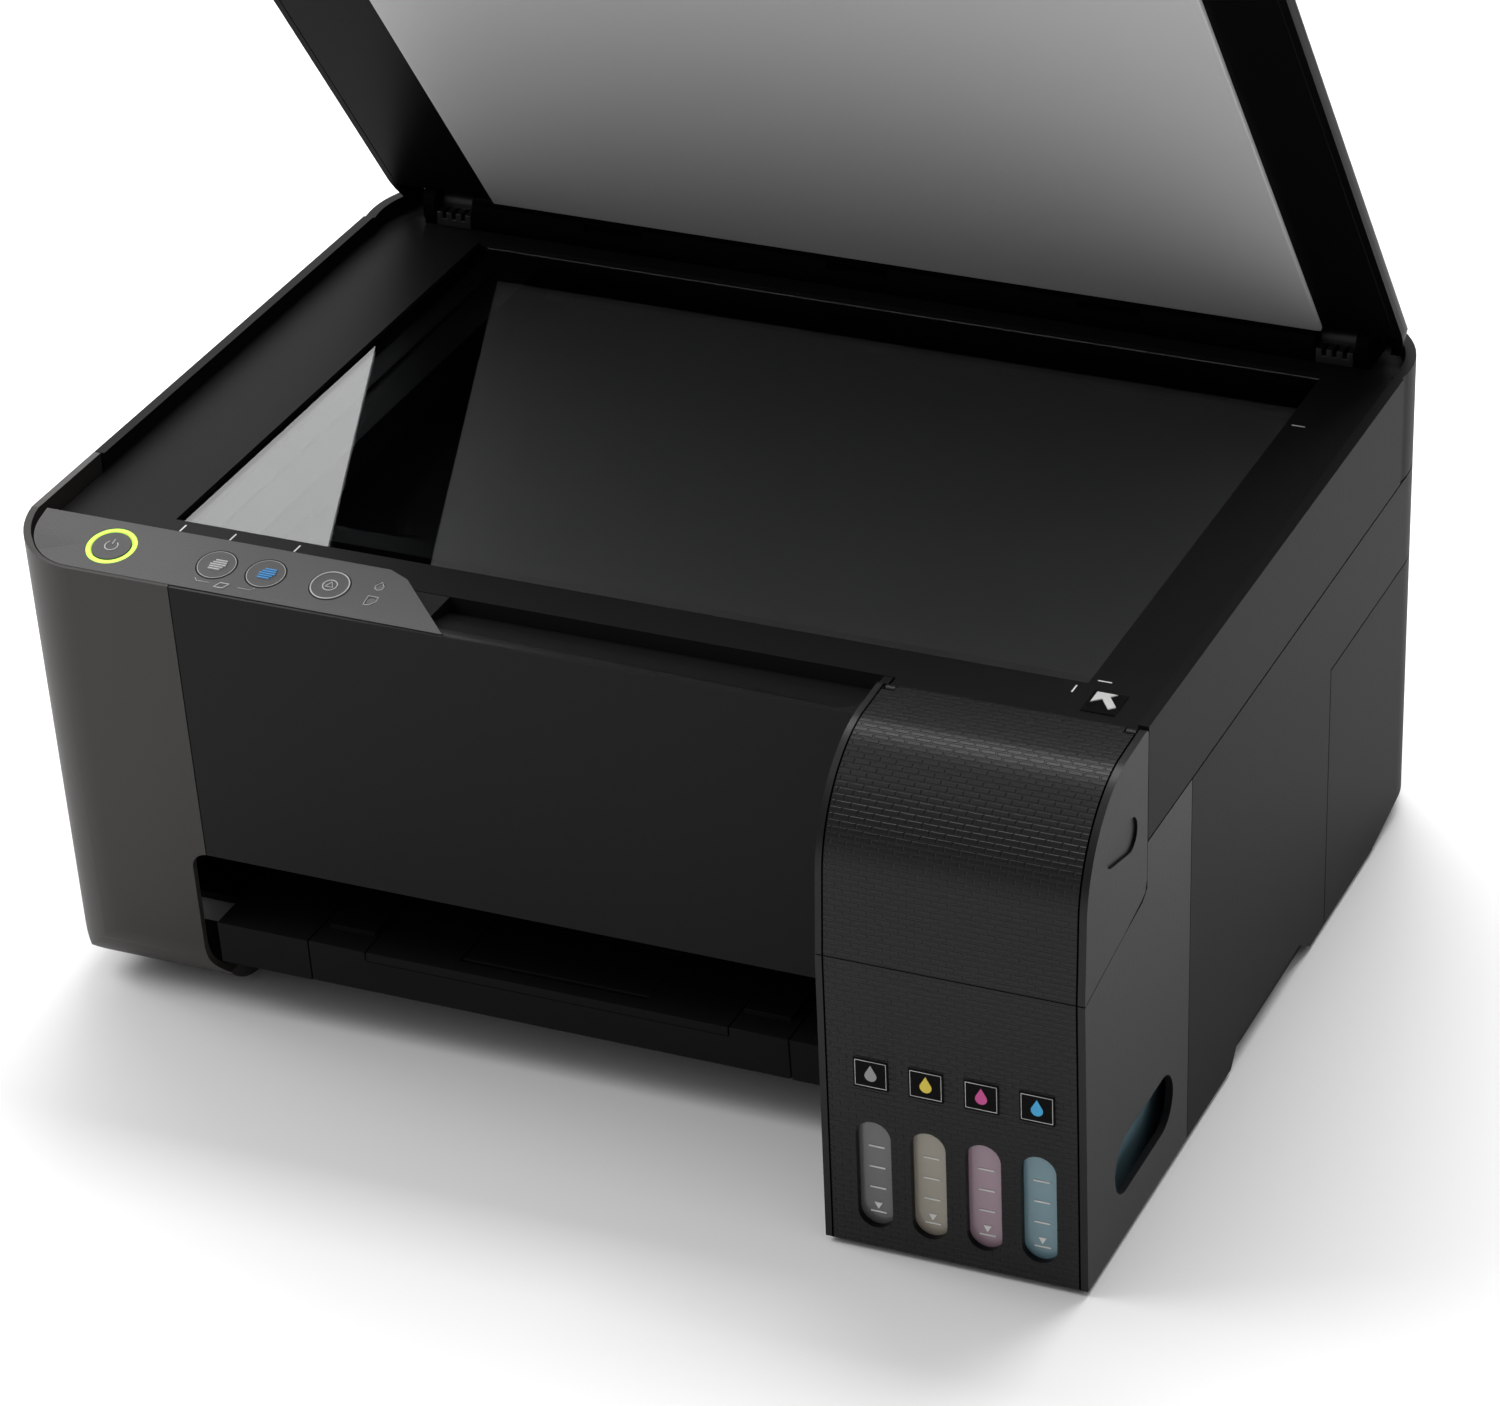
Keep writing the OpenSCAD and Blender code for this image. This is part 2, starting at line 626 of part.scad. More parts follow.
module print_frame() color([0.62, 0.63, 0.64]) {
    x0 = -hx + 12;
    x1 = hx - 8;
    difference() {
        union() {
            box([x0, rail_y, 50], [x1, rail_y + 1.5, 116]);
            box([x0, rail_y, 114.5], [x1, rail_y + 14, 116]);
            for (x = [x0, x1 - 1.5]) box([x, eject_y - 8, floor_z], [x + 1.5, rail_y + 1, 100]);
        }
        for (y = [feed_y, eject_y]) rod(x0 - 1, x1 + 1, y, feed_z, shaft_r + run_fit);
    }
    // Bearings of the pickup roller
    for (x = [slot_x0 + 2, tower_x0 - 4]) difference() {
        box([x, rail_y + 1.4, pickup_z - 6], [x + 2, pickup_y + 6, pickup_z + 6]);
        rod(x - 1, x + 3, pickup_y, pickup_z, 3 + run_fit);
    }
    // Ground shaft that carries the carriage, with its left bearing plate
    rod(pulley_x0 + 10, x1, rail_y - 10, 92, 3);
    box([pulley_x0 + 10, rail_y - 16, 86], [pulley_x0 + 12, rail_y + eps, 98]);
    // Arm with the idler's axle
    box([pulley_x1 - 5, belt_y - 6, belt_z + 7], [pulley_x1 + 5, rail_y + eps, belt_z + 8.5]);
    upright(pulley_x1, belt_y, belt_z - 6, belt_z + 7.1, 1.5);
}

module platen() color([0.10, 0.10, 0.105]) {
    x0 = slot_x0 + 4;
    x1 = tower_x0 - 4;
    y0 = eject_y + 10;
    y1 = feed_y - 10;
    box([x0, y0, platen_z - 14], [x1, y1, platen_z - 3]);
    for (i = [0:12]) translate([x0 + 4 + i * (x1 - x0 - 10) / 12, 0, 0])
        box([0, y0 + 2, platen_z - 3.1], [2, y1 - 2, platen_z]);
}

module star_wheel_bar() color([0.14, 0.14, 0.145]) {
    x0 = slot_x0 + 4;
    x1 = tower_x0 - 4;
    difference() {
        box([x0, eject_y - 7, platen_z + 4], [x1, eject_y + 7, platen_z + 8]);
        for (i = [0:7]) box([x0 + 10 + i * 26, eject_y - 4, platen_z + 3], [x0 + 14 + i * 26, eject_y + 4, platen_z + 9]);
    }
    for (i = [0:7]) rod(x0 + 11.6 + i * 26, x0 + 12.4 + i * 26, eject_y, platen_z + 4.5, 3.6);
    rod(x0 + 2, x1 - 2, eject_y, platen_z + 4.5, 0.8);
}

module cap_station() color([0.16, 0.16, 0.165]) {
    x0 = carriage_x - 30;
    difference() {
        box([x0, print_y - 30, floor_z], [x0 + 60, feed_y - 12, platen_z - 10]);
        box([x0 + 6, print_y - 24, platen_z - 22], [x0 + 54, feed_y - 18, platen_z]);
    }
    box([x0 + 12, print_y - 18, platen_z - 24], [x0 + 48, feed_y - 24, platen_z - 8]);
}

module power_supply() color([0.2, 0.2, 0.21]) {
    box([-hx + 14, 78, floor_z], [-hx + 100, 128, floor_z + 34]);
    box([-hx + 22, 84, floor_z + 33], [-hx + 92, 122, floor_z + 38]);
}

module main_board() color([0.05, 0.30, 0.16]) {
    box([hx - 96, 72, 11], [hx - 45, rear_y - 10, 12.7]);
    for (p = [[88, 84], [70, 110], [66, 80]]) box([hx - p[0], p[1], 12.6], [hx - p[0] + 14, p[1] + 14, 15]);
    for (p = [[90, 78], [50, 78], [90, 158]]) upright(hx - p[0], p[1], floor_z, 11.1, 3);
    data_port();
}

module ink_tubes() color([0.75, 0.75, 0.72, 0.8]) {
    x0 = hx - 18.4;
    bend = 8;
    y1 = 74;
    // Manifold behind the tanks
    box([tank_x0 - 4, tower_rear_y + 1, 10], [x0 + 9, tower_rear_y + 7, 17]);
    for (i = [0:3]) translate([x0 + i * 2.4, 0, 0]) {
        translate([0, tower_rear_y + 6.9, 13.5]) rotate([-90, 0, 0]) cylinder(h = y1 - tower_rear_y - 6.9 - bend, r = 1);
        translate([0, y1 - bend, 13.5 + bend]) rotate([0, 90, 0]) rotate_extrude(angle = 90) translate([bend, 0]) circle(r = 1);
        upright(0, y1, 13.5 + bend, 108, 1);
    }
    box([x0 - 2, rail_y + 1.6, 102], [x0 + 9.2, y1 + 2, 109]);
}

module power_inlet() color([0.04, 0.04, 0.045]) {
    x0 = -hx + rear_r + 10 + seam + 2.1;
    difference() {
        box([x0, rear_y - 20, 12.2], [x0 + 24.8, rear_y - 0.6, 31.8]);
        box([x0 + 4, rear_y - 14, 16], [x0 + 20.8, rear_y, 28]);
    }
    for (s = [-1, 1]) translate([x0 + 12.4 + s * 4, rear_y - 15, 22]) rotate([-90, 0, 0]) cylinder(h = 10, r = 1.2);
}

module data_port() {
    x1 = hx - rear_r - 10 - seam;
    difference() {
        box([x1 - 26.4, rear_y - 17, 12.6], [x1 - 13.6, rear_y - 0.6, 20.4]);
        box([x1 - 25.2, rear_y - 13, 13.6], [x1 - 14.8, rear_y, 19.4]);
    }
    box([x1 - 23, rear_y - 13.5, 15.8], [x1 - 17, rear_y - 4, 17.2]);
}

pinion_y = feed_y;
pinion_z = feed_z - tooth_m * (gear_n + pinion_n) / 2;

module feed_motor() color([0.55, 0.55, 0.56]) {
    rod(-hx + 16, gear_x - 4.6, pinion_y, pinion_z, 9);
    difference() {
        rod(gear_x - 4.7, gear_x - 2, pinion_y, pinion_z, 1.4);
        rod(gear_x - 4, gear_x, pinion_y, pinion_z, 0.5);
    }
}

module motor_pinion() color([0.85, 0.83, 0.78]) {
    translate([gear_x - 0.6, pinion_y, pinion_z]) rotate([0, 90, 0]) rotate([0, 0, 180 / pinion_n]) linear_extrude(5)
        gear_outline(pinion_n, tooth_m);
    rod(gear_x - 1.4, gear_x, pinion_y, pinion_z, 1);
}

module carriage_motor() color([0.55, 0.55, 0.56]) {
    upright(pulley_x0, belt_y, belt_z - 36, belt_z - 10, 7.4);
    upright(pulley_x0, belt_y, belt_z - 10.1, belt_z - 6.5, 2.6);
    upright(pulley_x0, belt_y, belt_z - 10.1, belt_z + 6.5, 1.5);
}

module pulley(x) {
    difference() {
        union() {
            upright(x, belt_y, belt_z - 4, belt_z + 4, pulley_r - 0.3);
            upright(x, belt_y, belt_z - 5, belt_z - 3.9, pulley_r + 1.6);
            upright(x, belt_y, belt_z + 3.9, belt_z + 5, pulley_r + 1.6);
        }
        upright(x, belt_y, belt_z - 6, belt_z + 6, 1.5 + run_fit);
    }
}

module drive_pulley() color([0.82, 0.70, 0.35]) pulley(pulley_x0);
module idler_pulley() color([0.3, 0.3, 0.3]) pulley(pulley_x1);

module carriage_belt() color([0.05, 0.05, 0.05]) {
    outer = pulley_r + 1.1;
    for (s = [-1, 1]) box([pulley_x0, belt_y + s * (outer - 0.5) - 0.5, belt_z - 3],
        [pulley_x1, belt_y + s * (outer - 0.5) + 0.5, belt_z + 3]);
    for (e = [[pulley_x0, -1], [pulley_x1, 1]]) difference() {
        upright(e[0], belt_y, belt_z - 3, belt_z + 3, outer);
        upright(e[0], belt_y, belt_z - 4, belt_z + 4, outer - 1);
        translate([e[1] > 0 ? e[0] - 20 : e[0], belt_y - 10, belt_z - 5]) cube([20, 20, 10]);
    }
}

module print_carriage() color([0.09, 0.09, 0.095]) {
    x0 = carriage_x - carriage_w / 2;
    y0 = carriage_y - 30;
    y1 = rail_y - 13.6;
    difference() {
        union() {
            box([x0, y0, platen_z + 10], [x0 + carriage_w, y1 + 8, 120]);
            box([x0 + 8, y0 + 6, platen_z + 2.5], [x0 + carriage_w - 8, y1 - 10, platen_z + 10.1]);
            box([x0 + 4, y0 + 4, 119.9], [x0 + carriage_w - 4, y0 + 34, 124]);
        }
        rod(x0 - 1, x0 + carriage_w + 1, rail_y - 10, 92, 3 + run_fit);
        box([x0 - 1, belt_y - 9, belt_z - 6.5], [x0 + carriage_w + 1, rail_y + 20, 130]);
        for (i = [0:3]) box([x0 + 8 + i * 12.6, y0 + 8, 100], [x0 + 18.4 + i * 12.6, y0 + 30, 130]);
    }
}

module roller_gear(x) {
    translate([x, feed_y, feed_z]) rotate([0, 90, 0]) linear_extrude(4) gear_outline(gear_n, tooth_m);
}

module feed_roller() color([0.35, 0.35, 0.36]) {
    rod(-hx + 10.5, hx - 6.5, feed_y, feed_z, shaft_r);
    rod(slot_x0 + 4, tower_x0 - 4, feed_y, feed_z, feed_r);
    roller_gear(gear_x);
}

module eject_roller() color([0.3, 0.3, 0.31]) {
    rod(-hx + 10.5, hx - 6.5, eject_y, feed_z, shaft_r);
    for (i = [0:7]) rod(slot_x0 + 11 + i * 26, slot_x0 + 21 + i * 26, eject_y, feed_z, feed_r + 0.8);
}

pickup_y = 128;
pickup_z = 84;

module pickup_roller() color([0.35, 0.35, 0.36]) {
    rod(slot_x0, tower_x0, pickup_y, pickup_z, 3);
    rod(slot_mid - 22, slot_mid + 22, pickup_y, pickup_z, 14);
}

// ---------- Fastenings and feet ----------

module scanner_hinge_brackets() color([0.7, 0.7, 0.72]) {
    for (s = [-1, 1]) translate([s * bracket_x, 0, 0]) difference() {
        union() {
            box([-3.5, rear_y - wall - 6, base_top - 26], [3.5, rear_y - wall - 0.1, hinge_z]);
            rod(-3.5, 3.5, hinge_y, hinge_z, 3.2);
        }
        rod(-5, 5, hinge_y, hinge_z, 1.6 + run_fit);
    }
}

module rubber_feet() color([0.03, 0.03, 0.03]) {
    for (s = [-1, 1], y = [-50, 120]) upright(s * 140, y, 0, foot_h, 7);
    upright(hx - 14, -hy + 26, 0, foot_h, 6);
    upright(-hx + foot_r + 7, front_y + foot_r + 26, 0, foot_h, 6);
}

module housing_screws() color([0.6, 0.6, 0.62]) {
    for (p = screw_places) {
        upright(p[0], p[1], foot_h + 0.2, foot_h + 1.2, 2);
        upright(p[0], p[1], foot_h + 1.1, floor_z + 3, 1.4);
    }
}

// ---------- Scanner unit ----------

module scanner_plan(o) {
    w = scan_w0;
    notch_x = -hx + wall + 1.2;
    translate([-hx + o, front_y + 64.7 + o]) square([hx + w - 2 * o, rear_y - rear_r - front_y - 72.2 - o]);
    translate([-hx + rear_r, front_y + 64.7 + o]) square([hx + w - 2 * rear_r, rear_y - front_y - 72.2 - 2 * o]);
    for (x = [-hx + rear_r, w - rear_r]) translate([x, rear_y - rear_r]) circle(r = rear_r - o);
    translate([notch_x + o, scanner_front_y + o]) square([w - notch_x - 2 * o, 80]);
    translate([tower_x0 + seam + o, tower_front_y + o]) square([w - tower_x0 - seam - 2 * o, 80]);
}

module scanner_frame() color([0.09, 0.09, 0.095]) {
    deck_rear = lid_axis_y + heel_r;
    difference() {
        union() {
            difference() {
                translate([0, 0, scanner_z]) linear_extrude(rim_top - scanner_z) scanner_plan(0);
                intersection() {
                    translate([0, 0, deck_z]) linear_extrude(rim_h + 1) scanner_plan(rim_w);
                    box([-hx, -hy, 0], [hx, deck_rear + 1, rim_top + 2]);
                }
                translate([0, 0, scanner_z - 1]) linear_extrude(deck_z - deck_t - scanner_z + 1) scanner_plan(wall);
                // The rim is open along the front, where the panel, the recess and the tank cover are
                box([-hx - 1, -hy, deck_z], [hx - rim_w, scanner_front_y + 3.6, rim_top + 1]);
                box([-hx - 1, -hy, deck_z], [0, front_y + 64.7 + rim_w + 0.1, rim_top + 1]);
            }
            // Left rim, up to the corner cover
            box([-hx, front_y + 64.7, deck_z - 1], [-hx + rim_w, front_y + 70, rim_top]);
            // Block that holds the hinge trough, and the raised deck behind it
            intersection() {
                union() {
                    box([-hx + wall, lid_axis_y - heel_r - 3, deck_z - 7.6], [hx - wall, rear_y, deck_z]);
                    box([-hx, deck_rear + trough_gap, deck_z - 7.6], [hx, rear_y, rim_top]);
                }
                linear_extrude(300) scanner_plan(0);
            }
            // Ears for the scanner hinge pins
            for (s = [-1, 1], e = [-1, 1]) translate([s * bracket_x + e * 6.2 - 1.8, 0, 0]) {
                rod(0, 3.6, hinge_y, hinge_z, 3);
                box([0, hinge_y - 3, hinge_z], [3.6, rear_y - wall + 0.1, hinge_z + 12]);
            }
        }
        box([glass_x0, glass_y0, deck_z - 10], [glass_x0 + glass_l, glass_y0 + glass_w, deck_z + 1]);
        // Trough for the lid's rounded heel
        rod(-heel_x - 0.6, heel_x + 0.6, lid_axis_y, lid_axis_z, heel_r + trough_gap);
        // The rear wall stops higher, so that it can swing round the hinge
        box([-hx - 1, rear_y - 12, scanner_z - 1], [hx + 1, rear_y + 1, scanner_z + 1.5]);
        for (s = [-1, 1]) {
            // Clearance for the brackets that rise from the body
            box([s * bracket_x - 4.3, hinge_y - 9, scanner_z - 1], [s * bracket_x + 4.3, rear_y + 1, hinge_z + 4.6]);
            rod(s * bracket_x - 9, s * bracket_x + 9, hinge_y, hinge_z, 1.6);
            // Sockets for the lid's hinge posts
            box([s * hinge_x - hinge_half - 0.1, lid_axis_y - 5.1, deck_z - 12], [s * hinge_x + hinge_half + 0.1, lid_axis_y + 5.1, deck_z]);
        }
        translate([0, 0, deck_z - 0.6]) linear_extrude(5) plate_outline(0.05);
    }
}

module plate_outline(o) {
    translate([glass_x0 + glass_l + 3.4 - o, glass_y0 - 16.6 - o]) square([10.8 + 2 * o, 12.8 + 2 * o]);
}

module origin_plate() color([0.16, 0.16, 0.165]) {
    translate([0, 0, deck_z - 0.6]) linear_extrude(0.9) plate_outline(0);
    x0 = glass_x0 + glass_l + 4.6;
    y1 = glass_y0 - 4.8;
    color([0.8, 0.8, 0.8]) translate([x0, y1, deck_z + 0.25]) linear_extrude(0.35) {
        polygon([[0, 0], [6.4, 0], [4.7, -1.8], [8.4, -7.2], [6.6, -9], [2.9, -3.6], [0, -6.2]]);
    }
}

module scanner_glass() color([0.04, 0.05, 0.05, 0.5]) {
    box([glass_x0 - 1.5, glass_y0 - 1.5, glass_z - glass_t], [glass_x0 + glass_l + 1.5, glass_y0 + glass_w + 1.5, glass_z]);
}

module scanner_pan() color([0.07, 0.07, 0.075]) {
    z0 = scanner_z + 0.8;
    y_low = lid_axis_y - heel_r - 3.2;
    difference() {
        union() {
            box([pan_x0, pan_y0, z0], [pan_x1, y_low, glass_z - glass_t - 0.3]);
            box([pan_x0, pan_y0, z0], [pan_x1, pan_y1, deck_z - 8.2]);
        }
        box([pan_x0 + 2, pan_y0 + 2, z0 + 2], [pan_x1 - 2, y_low - 2, deck_z]);
        box([pan_x0 + 2, pan_y0 + 2, z0 + 2], [pan_x1 - 2, pan_y1 - 2, deck_z - 10.2]);
    }
    // Guide rail with a rack along the front, for the moving bar
    box([pan_x0 + 2.1, pan_y0 + 34, z0 + 1.9], [pan_x1 - 2.1, pan_y0 + 44, glass_z - glass_t - 10.3]);
    for (i = [0:71]) translate([pan_x0 + 6 + i * 4.2, 0, 0]) box([0, pan_y0 + 44 - eps, z0 + 1.9], [2.1, pan_y0 + 46, z0 + 5]);
}

module scan_bar() color([0.10, 0.10, 0.105]) {
    x0 = pan_x0 + 8;
    z1 = glass_z - glass_t - 0.8;
    difference() {
        box([x0, pan_y0 + 6, z1 - 12], [x0 + 22, pan_y1 - 22, z1]);
        box([x0 + 8, pan_y0 + 10, z1 - 4], [x0 + 12, pan_y1 - 26, z1 + 1]);
        box([x0 - 1, pan_y0 + 32, z1 - 13], [x0 + 23, pan_y0 + 48, z1 - 9]);
    }
    color([0.8, 0.8, 0.8]) box([x0 + 8.2, pan_y0 + 10.2, z1 - 4.1], [x0 + 11.8, pan_y1 - 26.2, z1 - 1]);
}

module lid_hinge_posts() color([0.12, 0.12, 0.125]) {
    for (s = [-1, 1]) translate([s * hinge_x, 0, 0]) difference() {
        union() {
            box([-hinge_half, lid_axis_y - 5, deck_z - 8], [hinge_half, lid_axis_y + 5, lid_axis_z - 3]);
            rod(-hinge_half, hinge_half, lid_axis_y, lid_axis_z, 5);
            // Comb of teeth at the front
            for (k = [0:3]) box([-hinge_half + k * 3.6, lid_axis_y - 10, deck_z + 0.2], [-hinge_half + k * 3.6 + 2.2, lid_axis_y - 3, lid_axis_z - 0.6]);
            box([-hinge_half, lid_axis_y - 10, deck_z + 0.2], [hinge_half, lid_axis_y - 4, deck_z + 3]);
        }
        rod(-10, 10, lid_axis_y, lid_axis_z, 2 + run_fit);
    }
}

module scanner_hinge_pins() color([0.7, 0.7, 0.72]) {
    for (s = [-1, 1]) rod(s * bracket_x - 8, s * bracket_x + 8, hinge_y, hinge_z, 1.6);
}

// ---------- Document lid, drawn closed and then opened ----------

module opened() {
    translate([0, lid_axis_y, lid_axis_z]) rotate([-lid_open, 0, 0]) translate([0, -lid_axis_y, -lid_axis_z]) children();
}

module lid_plan(o) {
    r = 10 - o;
    x0 = lid_x0 + o;
    x1 = lid_x1 - o;
    y0 = lid_front_y + o;
    yr = rear_y - rear_r;
    translate([x0, y0 + r]) square([x1 - x0, yr - y0 - r]);
    translate([x0 + r, y0]) square([x1 - x0 - 2 * r, r + 1]);
    for (x = [x0 + r, x1 - r]) translate([x, y0 + r]) circle(r = r);
    // The rear corners follow the scanner's rounded rim
    intersection() {
        union() {
            translate([-hx + rear_r, yr - 1]) square([body_w - 2 * rear_r, rear_r]);
            for (s = [-1, 1]) translate([s * (hx - rear_r), yr]) circle(r = rear_r - rim_w - 1 - o);
        }
        translate([-hx, yr - 1]) square([body_w, lid_axis_y - yr + 1]);
    }
}

// The lid's plan raised from z0, with rounded upper edges at the sides and the front
module lid_form(z0, inset) {
    z1 = deck_z + lid_t - inset;
    r = lid_edge_r - inset;
    yc = lid_front_y + lid_edge_r;
    intersection() {
        translate([0, 0, z0]) linear_extrude(z1 - z0) lid_plan(inset);
        rotate([90, 0, 0]) linear_extrude(2 * hy, center = true) polygon(concat([[lid_x1 + 1, z0], [lid_x1 + 1, z1 - r]],
            arc(lid_x1 - lid_edge_r + 0.05, z1 - r, r, 0, 90, 16), arc(lid_x0 + lid_edge_r - 0.05, z1 - r, r, 90, 180, 16),
            [[lid_x0 - 1, z1 - r], [lid_x0 - 1, z0]]));
        side_plate(-hx, hx, concat([[hy, z0], [hy, z1]], arc(yc - 0.05, z1 - r, r, 90, 180, 16),
            [[lid_front_y - 1, z1 - r], [lid_front_y - 1, z0]]));
    }
}

module document_lid() color([0.04, 0.04, 0.045]) opened() {
    z1 = deck_z + lid_t;
    difference() {
        union() {
            difference() {
                lid_form(lid_z0, 0);
                lid_form(lid_z0 - 1, wall);
            }
            rod(-heel_x, heel_x, lid_axis_y, lid_axis_z, heel_r);
            // Round rail along the pad's lower edge
            rod(glass_x0 - 4.5, glass_x0 + glass_l - 4, lid_axis_y - heel_r + 0.4, lid_z0 + 0.2, 2);
        }
        for (s = [-1, 1]) {
            box([s * hinge_x - hinge_half - 0.6, lid_axis_y - 12.5, lid_axis_z - 14], [s * hinge_x + hinge_half + 0.6, lid_axis_y + 12, z1 - wall - 0.6]);
            box([s * hinge_x - hinge_half - 0.6, lid_axis_y + 2, lid_axis_z - 14], [s * hinge_x + hinge_half + 0.6, lid_axis_y + 12, z1 + 1]);
        }
        // Ribbed pockets that hide the springs between rail and heel
        for (x = [-110, -20, 70]) box([x, lid_axis_y - heel_r - 3, lid_z0 - 4], [x + 22, lid_axis_y - 5, lid_z0 - 1.9]);
    }
    // Hinge pins, one each side
    for (s = [-1, 1]) rod(s * hinge_x - hinge_half - 1.2, s * hinge_x + hinge_half + 1.2, lid_axis_y, lid_axis_z, 2);
}

module lid_liner() color([0.03, 0.03, 0.035]) opened() {
    translate([0, 0, lid_z0]) linear_extrude(1.8) difference() {
        lid_plan(wall + 0.2);
        translate([-hx, lid_axis_y - 13]) square([body_w, 40]);
    }
}

module document_pad() color([0.75, 0.75, 0.75]) opened() {
    box([glass_x0 + 3.8, glass_y0 - 5, pad_z0], [glass_x0 + glass_l - 2.4, lid_axis_y - 13.2, lid_z0]);
}

// ---------- Trays and supports ----------

module output_tray() color([0.07, 0.07, 0.075]) {
    x0 = slot_mid - tray_w / 2;
    x1 = slot_mid + tray_w / 2;
    z1 = tray_top_z;
    z0 = z1 - tray_face_h;
    yb = front_at(z1) + 96;
    difference() {
        side_plate(x0, x1, [[front_at(z1), z1], [front_at(z0), z0], [front_at(z0, wall), z0], [front_at(z0, 6), z0 + 3],
            [yb, z0 + 3], [yb, z1], [front_at(z1), z1]]);
        // Pocket for the extension, open at the front of the upper edge
        box([x0 + 20, -hy, z1 - 3.4], [x1 - 20, yb - 4, z1 + 1]);
        box([x0 + 3, front_at(z0, 12), z0 + 5.4], [x1 - 3, yb - 3, z1 - 5.6]);
    }
    for (x = [x0 + 3, x1 - 19]) box([x, front_at(z1) + 10, z1 - 0.5], [x + 16, front_at(z1) + 34, z1 + 1.4]);
}

module tray_extension() color([0.08, 0.08, 0.085]) {
    x0 = slot_mid - tray_w / 2 + 20.4;
    x1 = slot_mid + tray_w / 2 - 20.4;
    z1 = tray_top_z;
    y0 = front_at(z1) + 0.2;
    difference() {
        box([x0, y0, z1 - 3.1], [x1, y0 + 88, z1]);
        // Recess for the stopper
        box([slot_mid - 32.4, y0 + 6, z1 - 2.2], [slot_mid + 32.4, y0 + 34.4, z1 + 1]);
        rod(slot_mid - 36, slot_mid + 36, y0 + 9, z1 - 1.1, 0.8);
    }
}

module paper_stopper() color([0.09, 0.09, 0.095]) {
    z1 = tray_top_z;
    y0 = front_at(z1) + 0.2;
    box([slot_mid - 32, y0 + 9, z1 - 1.9], [slot_mid + 32, y0 + 34, z1 - 0.3]);
    rod(slot_mid - 32, slot_mid + 32, y0 + 9, z1 - 1.1, 0.8);
    rod(slot_mid - 35, slot_mid + 35, y0 + 9, z1 - 1.1, 0.74);
}

module paper_support() color([0.07, 0.07, 0.075]) {
    z1 = feeder_z1 - 0.5;
    difference() {
        union() {
            box([-support_w / 2, support_y, support_z], [support_w / 2, support_y + 2.2, z1]);
            rod(-support_w / 2, support_w / 2, support_axis_y, support_z, 1.8);
        }
        for (x = [-1, 1]) box([x * 20 - 12, support_y - 1, z1 - 5], [x * 20 + 12, support_y + 3, z1 - 2]);
    }
    rod(-support_w / 2 - 4, support_w / 2 + 4, support_axis_y, support_z, 1.2 - run_fit);
}

module edge_guide(s) {
    translate([s * (support_w / 2 - 10), 0, 0]) {
        box([-1, support_y - 6, feeder_z1 - 50], [1, support_y - 1, feeder_z1 - 6]);
        box([-6, support_y - 1.8, feeder_z1 - 50], [6, support_y - 0.6, feeder_z1 - 6]);
    }
}

module edge_guide_left() color([0.09, 0.09, 0.095]) edge_guide(-1);
module edge_guide_right() color([0.09, 0.09, 0.095]) edge_guide(1);

lower_housing();
left_cover();
right_cover();
right_rear_cover();
rear_cover();
front_cover();
control_panel();
panel_lights();
tank_housing();
colour_tags();
ink_tank_black();
ink_tank_yellow();
ink_tank_magenta();
ink_tank_cyan();
tank_cap_black();
tank_cap_yellow();
tank_cap_magenta();
tank_cap_cyan();
tank_cover();
print_frame();
platen();
star_wheel_bar();
cap_station();
power_supply();
main_board();
power_inlet();
ink_tubes();
feed_motor();
motor_pinion();
carriage_motor();
drive_pulley();
idler_pulley();
carriage_belt();
print_carriage();
feed_roller();
eject_roller();
pickup_roller();
scanner_hinge_brackets();
rubber_feet();
housing_screws();
scanner_frame();
scanner_glass();
scanner_pan();
origin_plate();
lid_hinge_posts();
scanner_hinge_pins();
scan_bar();
document_lid();
lid_liner();
document_pad();
power_button();
mono_copy_button();
colour_copy_button();
stop_button();
output_tray();
tray_extension();
paper_stopper();
paper_support();
edge_guide_left();
edge_guide_right();
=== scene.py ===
import math
import bpy
from mathutils import Matrix, Vector


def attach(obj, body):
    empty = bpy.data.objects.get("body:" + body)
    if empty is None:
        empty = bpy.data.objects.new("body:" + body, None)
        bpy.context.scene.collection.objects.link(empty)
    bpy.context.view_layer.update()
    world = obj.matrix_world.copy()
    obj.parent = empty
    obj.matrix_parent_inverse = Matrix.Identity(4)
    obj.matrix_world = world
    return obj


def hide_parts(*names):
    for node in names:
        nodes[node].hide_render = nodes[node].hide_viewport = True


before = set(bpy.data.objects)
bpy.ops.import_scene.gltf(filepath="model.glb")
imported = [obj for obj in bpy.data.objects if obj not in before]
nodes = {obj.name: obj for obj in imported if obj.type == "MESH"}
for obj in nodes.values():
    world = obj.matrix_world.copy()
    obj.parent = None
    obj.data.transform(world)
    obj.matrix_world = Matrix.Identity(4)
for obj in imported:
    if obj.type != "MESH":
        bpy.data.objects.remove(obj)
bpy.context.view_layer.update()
MM = 0.001

# Body covers: the left cover with its front pillar, the right and rear covers and the floor.
# They are injection moulded ABS with a fine spark-eroded grain, and their edges are slightly
# rounded by the mould. They clip and screw to the floor.


def linear(hex_colour):
    parts = [int(hex_colour[i:i + 2], 16) / 255 for i in (0, 2, 4)]
    return [p / 12.92 if p <= 0.04045 else ((p + 0.055) / 1.055) ** 2.4 for p in parts] + [1.0]


